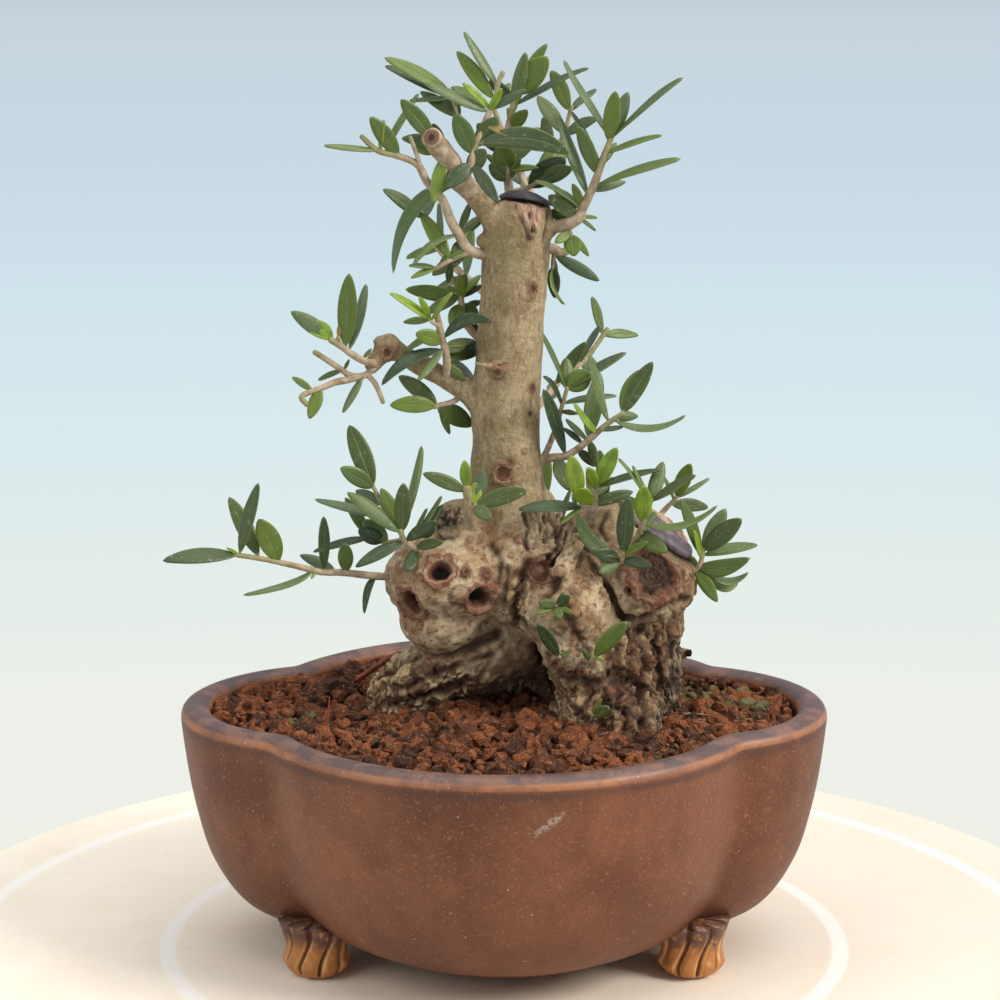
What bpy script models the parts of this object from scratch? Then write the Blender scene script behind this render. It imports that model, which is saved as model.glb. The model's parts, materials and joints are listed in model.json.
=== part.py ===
# Wild olive bonsai in a four-lobed brown pot.
# Metres, +Z up. The origin is the pot's centre on the ground, +X to the right and -Y to the front.
# Lists of points are in millimetres and pass through mm(), deep() or on_bark() before they are used.
import math
import random

import bmesh
import bpy
from mathutils import Matrix, Vector, noise
from mathutils.bvhtree import BVHTree

# Pot: each lobe is an arc given as (distance of its centre from the pot's centre, radius).
SIDE_LOBE = (0.0418, 0.0382)
FRONT_LOBE = (0.0068, 0.0627)
SIDE_STEPS = 12
FRONT_STEPS = 12
LOBE_BLEND = 0.0015
FLOOR_TOP = 0.0125
# Outer face of the pot in mm: height, and how far it lies inside the rim's outline.
POT_PROFILE = [(5.5, 27), (7, 23.8), (9.5, 18.5), (12.5, 14.2), (17.3, 10.3), (25, 6.3), (34, 3.7), (44, 1.7),
               (55.5, 0.3), (59.3, 0), (61.3, 1.6), (61.7, 4), (60.8, 6.6), (59.2, 7.4)]
# Inner face in mm, from the floor up to where the soil can reach.
POT_INSIDE = [(12.5, 20), (20, 14), (32, 10), (50, 7.1), (70, 7.1)]
FOOT_AT = (0.0455, 0.0240)
FOOT_TOP = 0.0150
FOOT_REACH = (0.0048, 0.0068, 0.0086, 0.0080)
FOOT_FLUTES = 6
DRAIN_HOLE = 0.0120
DRAIN_AT = 0.0260

# Soil: heights of the surface at the wall and at the tree's foot.
GAP = 0.0003
SOIL_AT_WALL = 0.0570
SOIL_AT_TREE = 0.0585
SOIL_GRID = 0.0058

MESH_SIDE = 0.0200
MESH_BARS = 4

# Tree.
EYE = Vector((-0.0010, -0.6012, 0.2228))
BARK_VOXEL = 0.0011
TRUNK_FACES = 3000
ROOT_BOTTOM = 0.0480
ROOT_GAP = 0.0008
LEAF_THICKNESS = 0.0009
LEAF_PROPORTION = 0.24
SMALL_LEAF = 0.0095
THIN_SHARES = (0.82, 0.84, 0.86, 0.88, 0.9, 0.93, 0.96)
TWIG_GAP = 0.00035
TIP_SETBACK = 0.0009
WIRE_RADIUS = 0.0007

# Swollen base of the tree: ellipsoids as centre x, y, z and radii x, y, z, in mm.
LUMPS = [
    (-13, -4, 93.5, 16.3, 16, 11.5), (-15.5, -6, 84, 10.2, 10.5, 8.5), (-10, -1, 102, 11, 11, 10),
    (5, -2, 95, 14, 15, 15), (4, 3, 106, 13, 12, 12), (15, -9, 88, 12, 13, 12), (15, -14, 79, 6.5, 6.5, 7),
    (25, 0, 98, 13, 14, 13.4), (34.6, -5, 94, 12.4, 13, 12), (34, 5, 100, 11, 12, 9), (36, -3, 82, 7.5, 10, 9),
    (24, -8, 74, 13, 12, 13), (25.5, -10, 60, 14.5, 12, 12), (38, -4, 69, 5.5, 8, 13),
    (5, 11, 92, 18, 13, 14), (25, 10, 90, 14, 12, 13), (-12, 9, 88, 12, 11, 12),
    (-4, 13, 66, 11, 9, 16), (16, 14, 64, 13, 10, 17), (5, 10, 76, 14, 9, 12),
]
# Round limbs of the same grown body: points as x, y, z and radius, in mm.
LIMBS = {
    "trunk": [(2.5, 1, 96, 14), (1.5, 0.5, 107, 11.2), (0.7, 0, 115, 9.2), (0.4, 0, 124, 8.5),
              (0.3, 0, 136, 8.4), (1.3, 0, 148, 8.1), (2.2, 0, 160, 8.0), (2.8, 0, 172, 8.2),
              (3.6, 0, 180, 8.0), (4.6, 0, 185, 6.6)],
    "left_fork": [(3, -1, 172, 6.5), (-0.5, -2, 179.5, 4.6), (-4.5, -3.5, 184, 3.4), (-8.5, -5, 188, 2.8)],
    "right_fork": [(6, 0, 176, 5.0), (9.5, -1, 177.8, 3.0), (12.6, -2, 178.6, 1.9)],
    "left_branch": [(-3, 0, 135, 5.2), (-8, -2, 138.4, 3.2), (-12.2, -3, 141.2, 2.8), (-16.8, -4, 144, 2.7),
                    (-21.5, -5, 146.6, 2.6), (-24.5, -6, 148.6, 2.5), (-27.4, -7, 151, 2.6), (-28.2, -7, 153.4, 1.5)],
    "branch_knuckle": [(-26, -6, 149.6, 2.4), (-29.4, -7, 148.6, 2.4), (-31.4, -7, 146.4, 2.2), (-32.6, -7, 144.6, 1.7)],
    "branch_spur": [(-28, -7, 150.4, 2.2), (-30.8, -7, 152.6, 1.2)],
    "brown_stub": [(-2, -1, 174.5, 2.4), (-6.2, -4, 175.6, 1.7)],
    "torn_stub": [(0.5, -6, 143.5, 1.8), (-2.6, -10, 146, 1.2), (-5, -12, 146.6, 0.9), (-7.2, -13, 147.4, 0.7)],
    "left_root": [(4, 3, 80, 11), (-9, 0, 74, 10.5), (-18, 0, 68, 9), (-25, 1, 63, 8), (-29.5, 2, 57, 6.5),
                  (-31, 3, 50, 5.5)],
    "front_root": [(24, -12, 66, 9), (31, -18, 58.5, 7.5), (34, -22, 50, 6.5)],
    "cut_root": [(17.6, -14, 104.2, 1.7), (16, -16.5, 101.5, 2.0), (13.2, -19, 97, 2.4)],
    "right_spur": [(38, -4, 76, 3), (44.5, -5, 74.2, 1.3), (46.4, -5, 74.4, 1.0)],
}
# Pruning scars: x, z as seen, outer radius, hole radius and hole depth, in mm.
KNOTS = [(-15.4, 93.9, 3.3, 1.9, 2.2), (-22.6, 84.8, 3.5, 2.2, 2.2), (-6.3, 86.7, 3.7, 2.5, 2.8),
         (37.2, 93.6, 5.6, 3.8, 1.3), (-0.3, 117.8, 2.5, 1.5, 0.7), (7.0, 163.4, 1.5, 0.9, 0.5),
         (8.8, 94.0, 3.0, 2.2, 0.9), (-28.3, 148.2, 1.6, 0.9, 0.7)]
# Buds and small knobs: x, z as seen, radius and height, in mm.
KNOBS = [(-9.0, 93.8, 1.1, 0.9), (-4.6, 93.1, 1.1, 0.9), (8.8, 94.0, 1.5, 1.6), (30.0, 84.9, 1.6, 1.0),
         (16.6, 69.8, 1.3, 1.0), (19.4, 69.0, 1.5, 1.1), (30.7, 68.8, 1.4, 1.0), (12.4, 97.4, 2.0, 1.0)]
# Creases between the swellings: x, z as seen, in mm.
FOLDS = [[(5.2, 106), (6.2, 101), (4.8, 95), (5.8, 87), (4.2, 80.5)], [(9.3, 106), (10.3, 100), (11.5, 95)],
         [(13, 105), (14, 100)], [(2.6, 95), (1.6, 89), (2.2, 82)], [(23, 85), (30, 82), (36, 84)],
         [(26, 92), (31, 87), (40, 86)]]
FOLD_DEPTH = 0.0011
FOLD_WIDTH = 0.0011

# Flat facet of the right lump, and the cap of the trunk, both under wound paste.
FACET_POINT = (37, -2.6, 105)
FACET_NORMAL = (0.52, -0.22, 0.825)
FACET_SIZE = (6.6, 10.8)
CAP_CENTRE = (5.0, 0, 186.1)
CAP_SIZE = (6.4, 6.8)
CAP_DROOP = 0.045
PASTE_THICKNESS = 0.0012

# Tie wire over the left root, in mm.
WIRE = [(-41, 27, 48), (-40.5, 26.5, 57), (-34, 21, 63.6), (-28, 16.5, 68.6), (-24.5, 15.5, 69.6),
        (-22, 18, 67), (-20.5, 23, 60), (-20, 25.5, 48)]

# Leafy sprays. A twig is (first radius, last radius, points as x, z, depth); a leaf is
# (base x, base z, tip x, tip z, width as seen, tone, depth of its tip from its base, and for a
# curved leaf a point x, z on its way). x and z are as seen on the plane through the trunk.
# Tones are m mid green, d dark, y young, g grey underside and b dry. With "face", the depths count
# from the bark that shows at that x, z.
SPRAYS = {
    "spray_crown_left": {
        "twigs": [
            (2.7, 2.4, [(-5.7, 185.6, -4), (-10.2, 189.2, -6), (-13.3, 194.5, -8), (-17, 199.3, -9)]),
            (1, 0.6, [(-9.6, 189.2, -7), (-8, 193, -9), (-6.8, 198, -9), (-4.5, 203.5, -8),
                      (-2, 209, -8), (-1.5, 212.3, -8), (-0.3, 215, -8)]),
            (0.8, 0.5, [(-7.2, 196.5, -9), (-9.5, 202, -5), (-11.5, 206.5, -4), (-12.5, 210.5, -4)])],
        "leaves": [
            (-16.5, 199, -24.6, 208.7, 4.3, "m", -3), (-12.5, 209, -22.6, 208.4, 1, "g", 3),
            (-12, 210.5, -28.4, 218.4, 3.3, "m", -2), (-12, 209, -28.4, 216.5, 3.2, "d", 3),
            (-3.9, 205.4, -19, 212.6, 2.8, "g", -3), (-10.5, 204, -20, 210.5, 3, "m", 4),
            (-2.5, 208.5, -11.3, 220, 3.6, "m", 3), (-1.5, 212, -9.6, 224.6, 2.2, "g", 2),
            (-3.6, 206, -10, 212.6, 2.1, "y", -2), (-3.5, 205.3, -0.5, 211.3, 2, "y", -3),
            (-7.4, 195.4, -11.8, 205.4, 4.8, "m", -3), (-14.5, 196.5, -17, 203, 3, "d", 5),
            (-8, 193.4, -13.9, 187.6, 4, "d", -4), (-7.8, 193.7, -1.3, 184, 3.2, "d", -5),
            (-14.3, 195.7, -17, 183.8, 3.6, "m", -3), (-15, 197, -21.8, 197.5, 3.6, "m", 4),
            (-16, 198.3, -24.5, 199.5, 3, "g", 5), (-10.2, 189, -26.8, 167.2, 3.6, "m", -2, -22, 181.8),
            (-6.8, 198, 15.7, 195.9, 5.4, "d", -6, 5, 199.5), (-4.8, 202.6, 2.3, 199.5, 1.6, "b", -3),
            (-3.2, 206.5, 5.1, 211, 2, "g", -3)]},
    "spray_upper_left": {
        "twigs": [
            (1.4, 0.6, [(-3.5, 171.5, -2), (-8.5, 173, -5), (-10.7, 176.4, -6), (-12.8, 180, -7),
                        (-14.8, 185, -8), (-18.5, 189.3, -9), (-20.7, 193.3, -9), (-25.5, 195.4, -10),
                        (-30.2, 196.6, -11), (-34, 200, -12)]),
            (0.6, 0.45, [(-19.6, 191.5, -9), (-21, 196, -10), (-22.4, 199.8, -11)]),
            (0.7, 0.5, [(-8.2, 172.6, -5), (-12.8, 170.6, -7), (-16.8, 168.3, -8)])],
        "leaves": [
            (-30.2, 196.6, -43.1, 197.8, 1.3, "g", -4), (-25, 195.2, -32, 204.6, 4.2, "m", -4),
            (-29.5, 196.6, -28.6, 204, 1.3, "y", -2), (-28.5, 196.4, -20.3, 210.2, 1.5, "m", 4),
            (-12.8, 170.6, -20.1, 182, 3.6, "m", 3),
            (-10.7, 176.4, -22, 169.2, 1.6, "g", -5, -17.3, 174.8),
            (-12.5, 170.7, -10.2, 175.4, 2.8, "d", 5), (-9, 172.2, -17.4, 166.9, 3.4, "d", 4),
            (-12.8, 170.5, -13.5, 164.9, 2, "d", 5), (-16.7, 168.3, -22.5, 166.2, 1.6, "m", -3),
            (-10.7, 176.4, -7.9, 184.8, 1.8, "m", 4), (-10.5, 176.2, -4.6, 181.3, 2.4, "m", 5)]},
    "spray_crown_middle": {
        "twigs": [
            (1.3, 0.6, [(2.5, 181, 6), (1.2, 187, 9), (0.4, 197, 8), (1.4, 204, 7), (2.6, 209, 6),
                        (4.3, 213.5, 6)]),
            (0.9, 0.5, [(1.2, 186.5, 9), (5.2, 187.6, 9), (8.6, 189.4, 8)])],
        "leaves": [
            (1.8, 206, 5.1, 219.8, 3.4, "g", -4), (4.3, 213.5, 10.2, 221.7, 2.6, "m", 2),
            (2.8, 209.5, 10.3, 218.7, 6.2, "m", -2), (2.2, 207.4, 20.3, 216, 1.5, "d", -3),
            (0.9, 201.5, 5.6, 206.2, 3.5, "m", -3), (0.7, 191.5, -1, 198, 6, "m", -3),
            (0.9, 189.5, 4, 195, 1.8, "m", -2), (0.6, 192, 8.3, 192.5, 1.7, "m", -3),
            (5.5, 187.8, 14.7, 194.8, 6, "d", -3), (8.6, 189.4, 12, 198, 3.6, "m", 4),
            (0.6, 194, 6, 199.5, 3.4, "d", 4)]},
    "spray_crown_right": {
        "twigs": [
            (1.7, 0.7, [(11, 178.4, -2), (14.5, 178.9, -3), (17.9, 180.6, -4), (18.8, 183, -4),
                        (21.4, 188.4, -5), (23.6, 194.6, -6), (25.6, 200, -6)]),
            (0.6, 0.5, [(15.2, 179.2, -3), (16.2, 176.2, -4)])],
        "leaves": [
            (20.2, 186, 13.1, 205, 2.8, "g", 3), (22, 190.6, 17.4, 202.6, 3.6, "m", -4),
            (22.8, 193, 15.7, 206, 1, "d", 4), (25, 198.3, 26.4, 210.7, 4.2, "m", -3),
            (25.6, 199.6, 29.5, 210.5, 3.8, "g", 3), (25.4, 199.6, 14.1, 218, 1.5, "g", 5),
            (25.6, 200, 42.6, 213.8, 1.2, "m", -3), (24.2, 196, 37.7, 200.2, 1.3, "m", -4),
            (21.2, 187.5, 42.2, 194.7, 1.7, "m", -5), (21, 187.2, 29.1, 189.2, 2.4, "g", 5),
            (23, 192.8, 26.8, 198.5, 2, "g", 5), (18.6, 182.6, 7, 189.4, 1.1, "m", -4, 12.5, 187.3),
            (18.7, 182.8, 11.5, 187.8, 2.4, "g", 4), (18.7, 183, 16.3, 188.8, 2.2, "m", -3),
            (17.9, 180.6, 10.5, 186, 4, "d", 4), (17, 180, 10.6, 182, 3.4, "d", 5),
            (16, 176.8, 16.9, 171.4, 4.4, "m", -2), (15.9, 176.9, 12.2, 174.6, 2.4, "m", -3),
            (16.2, 176.2, 20.4, 171.4, 1.8, "m", 3)]},
    "spray_right_hanging": {
        "twigs": [
            (1.5, 1, [(8, 173.3, 4), (11.8, 173.2, 4), (13.2, 172.4, 4), (15, 172.6, 4)]),
            (0.7, 0.4, [(12.2, 173, 4), (11.8, 170.5, 4), (11.6, 168.5, 4)])],
        "leaves": [
            (12, 171.8, 23, 165.5, 3, "g", -4), (11.7, 169.5, 12.2, 161.3, 3.2, "d", 3),
            (11.6, 168.7, 14.6, 159.7, 0.8, "m", -3, 11.6, 164)]},
    "spray_inner_left": {
        "twigs": [
            (1.1, 0.5, [(-4.5, 150.5, 5), (-8.4, 154, 5), (-10.2, 158, 4), (-10.5, 162, 3),
                        (-12.4, 166, 2), (-13, 167.4, 2)])],
        "leaves": [
            (-10.4, 160.5, -10.7, 167.2, 2.6, "m", -4), (-10.5, 162, -9.3, 167.4, 2.2, "m", 3),
            (-10.5, 162, -5.6, 166.9, 2, "y", 6), (-10.4, 161.4, -5.2, 164.4, 1.7, "d", 5),
            (-11.3, 163.6, -15.5, 162.4, 2.6, "m", 3), (-10.5, 161, -16.9, 164, 1.6, "m", 5),
            (-10.5, 161.2, -23.8, 163.5, 3.8, "m", -2), (-10.6, 162.2, -19, 157.6, 3, "m", -4),
            (-10.3, 160, -6.3, 156.5, 3.5, "m", 5), (-10.2, 158.4, -5.4, 160.6, 2, "d", 6),
            (-10.3, 159.8, -12.7, 154.2, 4, "m", -4), (-9.6, 156.6, -4.5, 150, 3, "d", 6)]},
    "spray_mid_left": {
        "twigs": [
            (1.15, 0.8, [(-13.9, 142, -4), (-13.9, 144, -6), (-14, 147.6, -8), (-15.2, 152.5, -9),
                         (-16.2, 157.3, -10)]),
            (0.6, 0.4, [(-15.8, 154.8, -10), (-17.4, 155.6, -11), (-18, 156.6, -11)])],
        "leaves": [
            (-18, 156.4, -27.6, 162.6, 2, "y", -4), (-17.8, 156.3, -20.5, 161.8, 1.8, "y", -3),
            (-17.6, 156, -12.4, 162.7, 1.3, "y", -4), (-17.8, 156.2, -24.4, 155.5, 1.9, "m", 3),
            (-14.7, 151, -2.7, 155.7, 3.2, "d", -4, -9.5, 156), (-15.4, 153.4, -24.2, 148.4, 1.8, "m", 2),
            (-14.8, 150.4, -21.4, 152.8, 4, "m", -4),
            (-14.2, 148.8, -29.8, 140.1, 3.1, "d", -5, -22.5, 146.6),
            (-14.3, 149.3, -21, 141.2, 2.1, "g", -6), (-14, 146.4, -4.6, 150, 4.5, "d", 14),
            (-14, 148.5, -9.3, 149.6, 2, "d", 5), (-14.2, 149.3, -7, 151, 2, "d", 12),
            (-13.9, 145.4, -9.3, 141.3, 2, "m", 10), (-13.9, 145.8, -7.4, 141.8, 2.5, "m", 13)]},
    "spray_branch_end": {
        "twigs": [
            (0.95, 0.8, [(-31.5, 145.6, -9), (-33.6, 146, -10), (-36.6, 147.6, -11), (-39.4, 149.7, -12),
                         (-41.9, 151.3, -13)]),
            (0.7, 0.5, [(-39.8, 150, -12), (-40.1, 152, -13)])],
        "leaves": [
            (-38.2, 149, -37.3, 167.4, 4.7, "m", -3), (-37.5, 148.4, -33.2, 164.9, 2.2, "g", 4),
            (-41.8, 151.2, -51.5, 158.2, 3.9, "g", 3), (-41.6, 151, -45.3, 156, 3, "y", -4)]},
    "spray_branch_low": {
        "twigs": [
            (0.8, 0.65, [(-31.4, 144.4, -8), (-34.2, 142.5, -9), (-37.5, 142.7, -9), (-39.1, 143.8, -10),
                         (-43.7, 146.9, -11), (-45.9, 148.3, -12)]),
            (0.9, 0.65, [(-35, 142.3, -9), (-37.9, 141.5, -10), (-40.7, 141, -11), (-43.7, 139.8, -12),
                         (-49, 137.6, -14), (-47.9, 135.4, -14)]),
            (0.7, 0.55, [(-33.4, 143, -8.6), (-31.4, 140.8, -9), (-30.2, 138.2, -10), (-29.4, 136, -10)])],
        "leaves": [
            (-34.4, 142.6, -39.3, 133.4, 1.9, "g", -4), (-39.3, 144, -45.1, 141.4, 1.3, "m", 4),
            (-46.5, 138.8, -51.4, 142.2, 1.8, "m", 3), (-44.4, 139.5, -47.4, 131.9, 3.3, "m", -3)]},
    "spray_under_branch": {
        "twigs": [
            (0.8, 0.5, [(-9.5, 139, -1), (-12, 136.4, -3), (-15.9, 135.3, -5), (-17, 134.8, -6)])],
        "leaves": [
            (-16, 135.4, -25.6, 142.5, 4, "d", 5), (-16.2, 135.3, -27.8, 135.3, 4.2, "m", -4),
            (-16.5, 135, -7.8, 130.2, 5, "m", 9), (-15.5, 135.5, -13.2, 128.1, 2, "g", 5)]},
    "spray_mid_right": {
        "twigs": [
            (1.1, 0.6, [(5, 121.5, -1), (11.6, 122.4, -2), (15, 122.8, -3), (18.2, 124.8, -4),
                        (21.1, 127.2, -5), (23.5, 129.4, -6), (26.1, 131.5, -7), (29, 133.4, -8)]),
            (0.8, 0.5, [(10.8, 122.3, -1.9), (11.8, 126, 1.5), (13, 130.8, 3), (13.7, 133.7, 1),
                        (15.3, 139.6, 0)])],
        "leaves": [
            (15.2, 139.4, 8.9, 153.2, 1, "m", 2), (15.1, 139.2, 15, 147, 3.8, "g", 4),
            (15.3, 139.6, 21, 143.4, 5.6, "m", -5), (25.4, 131, 20.6, 148.1, 2.3, "g", -3),
            (15.2, 139.2, 29.6, 148.2, 2.2, "d", 3), (20.2, 126.5, 23.2, 143.5, 4.6, "g", 4),
            (14.4, 136, 27.4, 137.6, 1.6, "m", 4), (13.9, 134.8, 9.4, 142.5, 1.1, "d", -2, 12.2, 139.6),
            (15, 122.9, 9.4, 139.3, 3.3, "d", -7), (13.7, 133.6, 18, 133.2, 1.4, "d", -4),
            (22.7, 128.7, 16.8, 136, 1.6, "y", -5, 20, 131.2), (20.5, 126.8, 14.9, 132, 1.5, "g", 3),
            (19.3, 125.8, 14.3, 129.7, 1.6, "d", 4), (28.8, 133.2, 33.4, 144.1, 5, "m", -4),
            (29, 133.4, 36, 146, 4.2, "d", 2), (27.2, 132.2, 32.6, 132.6, 2.6, "g", 4),
            (26.4, 131.7, 44.3, 132.9, 1.4, "g", -5, 36, 130.2), (20.8, 126.8, 22.7, 119.8, 2.3, "g", 4),
            (18, 124.6, 22.2, 120.2, 2.5, "d", 5), (12.6, 122.5, 16, 114.2, 4.2, "d", -5)]},
    "spray_low_left": {
        "twigs": [
            (1, 0.6, [(-22, 92.5, -7), (-30, 92.8, -10), (-35.3, 93.3, -12), (-39.9, 93.8, -14),
                      (-45, 93.9, -16), (-49.8, 95.1, -18), (-54.5, 96.2, -20), (-59.3, 97.2, -22),
                      (-65.6, 98.2, -24)])],
        "leaves": [
            (-65.2, 98, -83.9, 96.7, 3.8, "d", -7), (-65.4, 98.2, -59.9, 116.2, 3, "d", -3),
            (-60, 97.3, -67.3, 112.7, 4.2, "d", 4), (-55.3, 96.4, -60.1, 107.2, 5.5, "m", -4),
            (-44.4, 94, -44.2, 107.9, 2.9, "d", -3), (-41, 93.9, -50.2, 98.2, 2.9, "g", 4),
            (-38.5, 93.6, -39.1, 101.4, 3.8, "m", -3), (-47, 94.3, -64.4, 88, 1.4, "g", -5, -54, 91),
            (-31.5, 92.9, -34.5, 83.3, 1.9, "d", -3, -33.4, 89.6)]},
    "spray_low_left_cluster": {
        "twigs": [
            (1.1, 0.6, [(-17, 97, -9), (-21.5, 99.6, -13), (-24.6, 102, -15), (-25.3, 104.5, -16)]),
            (0.6, 0.5, [(-24.8, 102.8, -15), (-27.5, 107, -13), (-29.8, 110.6, -12), (-32, 115.4, -12)]),
            (0.6, 0.4, [(-24.6, 102, -15), (-29.5, 101.4, -12), (-33.5, 102.5, -10)]),
            (0.6, 0.4, [(-23, 100.8, -14), (-20.5, 103, -13), (-19, 105.2, -12)])],
        "leaves": [
            (-32, 115.4, -37.7, 130.5, 5.2, "d", 3), (-31.8, 115, -40, 119.9, 4.2, "m", -4),
            (-29.8, 110.6, -36.3, 114.3, 3, "d", 4), (-25.2, 104.4, -30.1, 114.9, 3.7, "m", 2),
            (-25, 103.6, -24.6, 116.2, 4.2, "d", -3), (-25.2, 104.4, -20.1, 125.5, 1.8, "g", 4),
            (-25, 103.4, -38.4, 113.8, 3.8, "g", -5), (-22.6, 101.2, -15.2, 113, 1, "g", 5),
            (-22.8, 101, -18.8, 109.9, 0.8, "m", 4), (-19.3, 104.8, -14.8, 110.8, 1.7, "m", 2),
            (-24.2, 101.6, -16.2, 106.6, 3.2, "d", -5), (-20.7, 102.8, -16.8, 105.2, 3, "d", -3),
            (-21.8, 99.8, -14.8, 101.5, 2.6, "d", -4), (-21.3, 99.4, -24, 93.8, 3.2, "d", -4),
            (-24.4, 101.8, -36.6, 95.1, 3.2, "d", -6), (-28, 101.6, -34.8, 106.9, 4, "m", 3),
            (-29.5, 101.5, -35.8, 104.4, 4.2, "d", -2), (-33.3, 102.4, -38.9, 112.6, 3, "m", 2),
            (-28, 107.6, -46.4, 112.1, 2.3, "g", -3), (-33.4, 102.4, -47, 98.9, 2, "d", 3)]},
    "spray_cup": {
        "face": (-8.3, 105.5),
        "twigs": [
            (1.4, 1.1, [(-8.2, 104, 3), (-8.3, 106.5, -1.5), (-8.5, 110.5, -3), (-9.2, 115, -4)]),
            (0.5, 0.4, [(-8.4, 109.3, -2.6), (-7, 110.8, -4.6)])],
        "leaves": [
            (-9.1, 114, -19.9, 118.5, 3.4, "d", -3), (-9.2, 114.8, -9.7, 121.8, 2.9, "y", -2),
            (-7.1, 110.7, -6.9, 116.4, 3.4, "y", -3), (-7.2, 110.6, -4.9, 119, 3.6, "g", 2),
            (-7, 110.8, 5.8, 114.3, 4.2, "d", -2), (-7.4, 110.3, -3.2, 107, 3.4, "d", -3)]},
    "spray_ribbed_stub": {
        "face": (21, 105.5),
        "twigs": [
            (1.8, 1, [(20.8, 104, 3), (21.2, 108, -1), (21.7, 112, -2), (21.2, 115.5, -2.5),
                      (20.9, 117.5, -3)]),
            (0.6, 0.4, [(21.6, 111.3, -2), (19.2, 110.3, -5), (18.2, 112.3, -6)]),
            (0.6, 0.4, [(21.3, 114.6, -2.5), (23, 115.2, -3.4)])],
        "leaves": [
            (18.2, 112.3, 16.3, 123.1, 4.4, "y", -2), (22.9, 115.2, 27.5, 125, 4, "y", -3),
            (22.8, 115.1, 20.4, 120, 3, "y", -4), (18.3, 112, 16.4, 116.6, 1.6, "y", -4),
            (19, 110.8, 20.4, 114.6, 5.8, "y", -6), (19.3, 110.3, 3.3, 109.4, 3.1, "d", -4),
            (21.8, 112.5, 26.8, 117.6, 2.4, "g", 5), (22.9, 115.2, 38.3, 119.4, 1.7, "d", -4),
            (21.6, 110.5, 31.6, 114, 3, "d", 4)]},
    "spray_low_right": {
        "face": (28.8, 96.5),
        "twigs": [
            (0.9, 0.5, [(28.6, 95.4, 3), (28.8, 96.8, -2), (29.4, 98.6, -4.5)])],
        "leaves": [
            (29, 97.6, 17.5, 109.4, 3.8, "d", -4, 21.3, 101.5), (28.9, 97, 22, 98.9, 3.4, "d", -2),
            (29.4, 98.4, 30.2, 112.7, 4.4, "d", -3), (29.2, 97.8, 35.4, 101.5, 1.8, "m", -5),
            (29, 97, 36.4, 95.3, 2.9, "d", -4), (28.8, 96.8, 23.4, 93.6, 3, "g", -4)]},
    "spray_lump_right": {
        "face": (32.5, 102),
        "twigs": [
            (0.8, 0.5, [(32, 100.4, 4), (32.6, 102.4, -2), (33.9, 106, -5), (35.5, 110.5, -6),
                        (36.2, 112, -6)])],
        "leaves": [
            (33.9, 106.2, 34.2, 115.6, 4.3, "y", -4), (35.7, 111, 38.8, 121.5, 3.6, "g", 3),
            (33, 103.6, 37.2, 109, 2.8, "g", 3), (32.7, 102.8, 40.1, 99, 4.3, "m", -4),
            (33.9, 106, 52.3, 110.6, 1.4, "g", -4, 44, 106.2), (35.8, 111.2, 27.8, 122.3, 0.7, "m", 2),
            (36, 111.6, 31.3, 120.5, 1, "g", 4), (36.1, 111.8, 46.9, 118.1, 2.2, "d", -3),
            (34.6, 108, 29.6, 113, 2.2, "m", 4)]},
    "spray_top_right": {
        "twigs": [
            (0.9, 0.5, [(33, 101, 10), (38.4, 108.4, 13), (42.4, 112.8, 12)])],
        "leaves": [
            (42.2, 112.6, 45.5, 121, 4, "m", -2), (42.3, 112.8, 50.2, 117.3, 1.1, "g", 3),
            (40.6, 110.8, 50, 110, 3.4, "d", 6)]},
    "spray_far_right": {
        "twigs": [
            (0.9, 0.5, [(40, 91.6, -4), (46.4, 94.2, -8), (48.3, 96.3, -9), (48.9, 99.6, -9)])],
        "leaves": [
            (48.5, 97.8, 43.1, 112.1, 3.2, "m", -6), (48.4, 97.4, 46.3, 104.4, 1.4, "y", -7),
            (48.8, 99.4, 54.3, 109.8, 4.3, "g", 3), (48.9, 99.4, 58.2, 107.3, 5, "d", -3),
            (48.6, 98, 62.3, 100.7, 2.6, "m", 3), (47.2, 95.2, 60.5, 97.4, 4.4, "m", -3, 53, 94.8),
            (47.8, 95.8, 60.2, 93.8, 1.6, "m", 3, 54, 91.5),
            (47.4, 95.4, 57.6, 91.1, 2.4, "m", 6, 53, 90.4), (46.8, 94.9, 52.6, 86.3, 3.4, "m", -4)]},
    "sprout_face": {
        "face": (13, 85),
        "twigs": [
            (0.6, 0.4, [(13, 84.6, 3), (12.9, 85.4, -2.6)])],
        "leaves": [
            (12.9, 85.4, 8.4, 86.3, 2.4, "d", -1), (12.9, 85.3, 16.2, 88.1, 2.6, "d", -2),
            (12.9, 85.3, 13.9, 82, 2.3, "m", -2), (12.9, 85.3, 17.5, 83.1, 1.4, "m", -2)]},
    "sprout_low_left": {
        "face": (13.8, 72),
        "twigs": [
            (0.6, 0.45, [(14.2, 71.6, 3), (13.7, 72.4, -2.4)])],
        "leaves": [
            (13.7, 72.4, 8.1, 80.9, 3.2, "d", -5)]},
    "sprout_low_right": {
        "face": (21, 70.5),
        "twigs": [
            (0.7, 0.45, [(20.8, 69.6, 3), (21.3, 71, -2), (22.3, 72.6, -3.4)])],
        "leaves": [
            (22.2, 72.4, 30.4, 81.4, 4.2, "m", -4), (21.3, 71.2, 19.3, 74.5, 1.4, "g", -2)]},
    "sprout_root": {
        "face": (22.5, 57.5),
        "twigs": [
            (0.6, 0.45, [(22.3, 56.8, 3), (22.1, 57.4, -2.2)])],
        "leaves": [
            (22.1, 57.4, 26.3, 59.4, 3.2, "d", -3)]},
}
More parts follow.
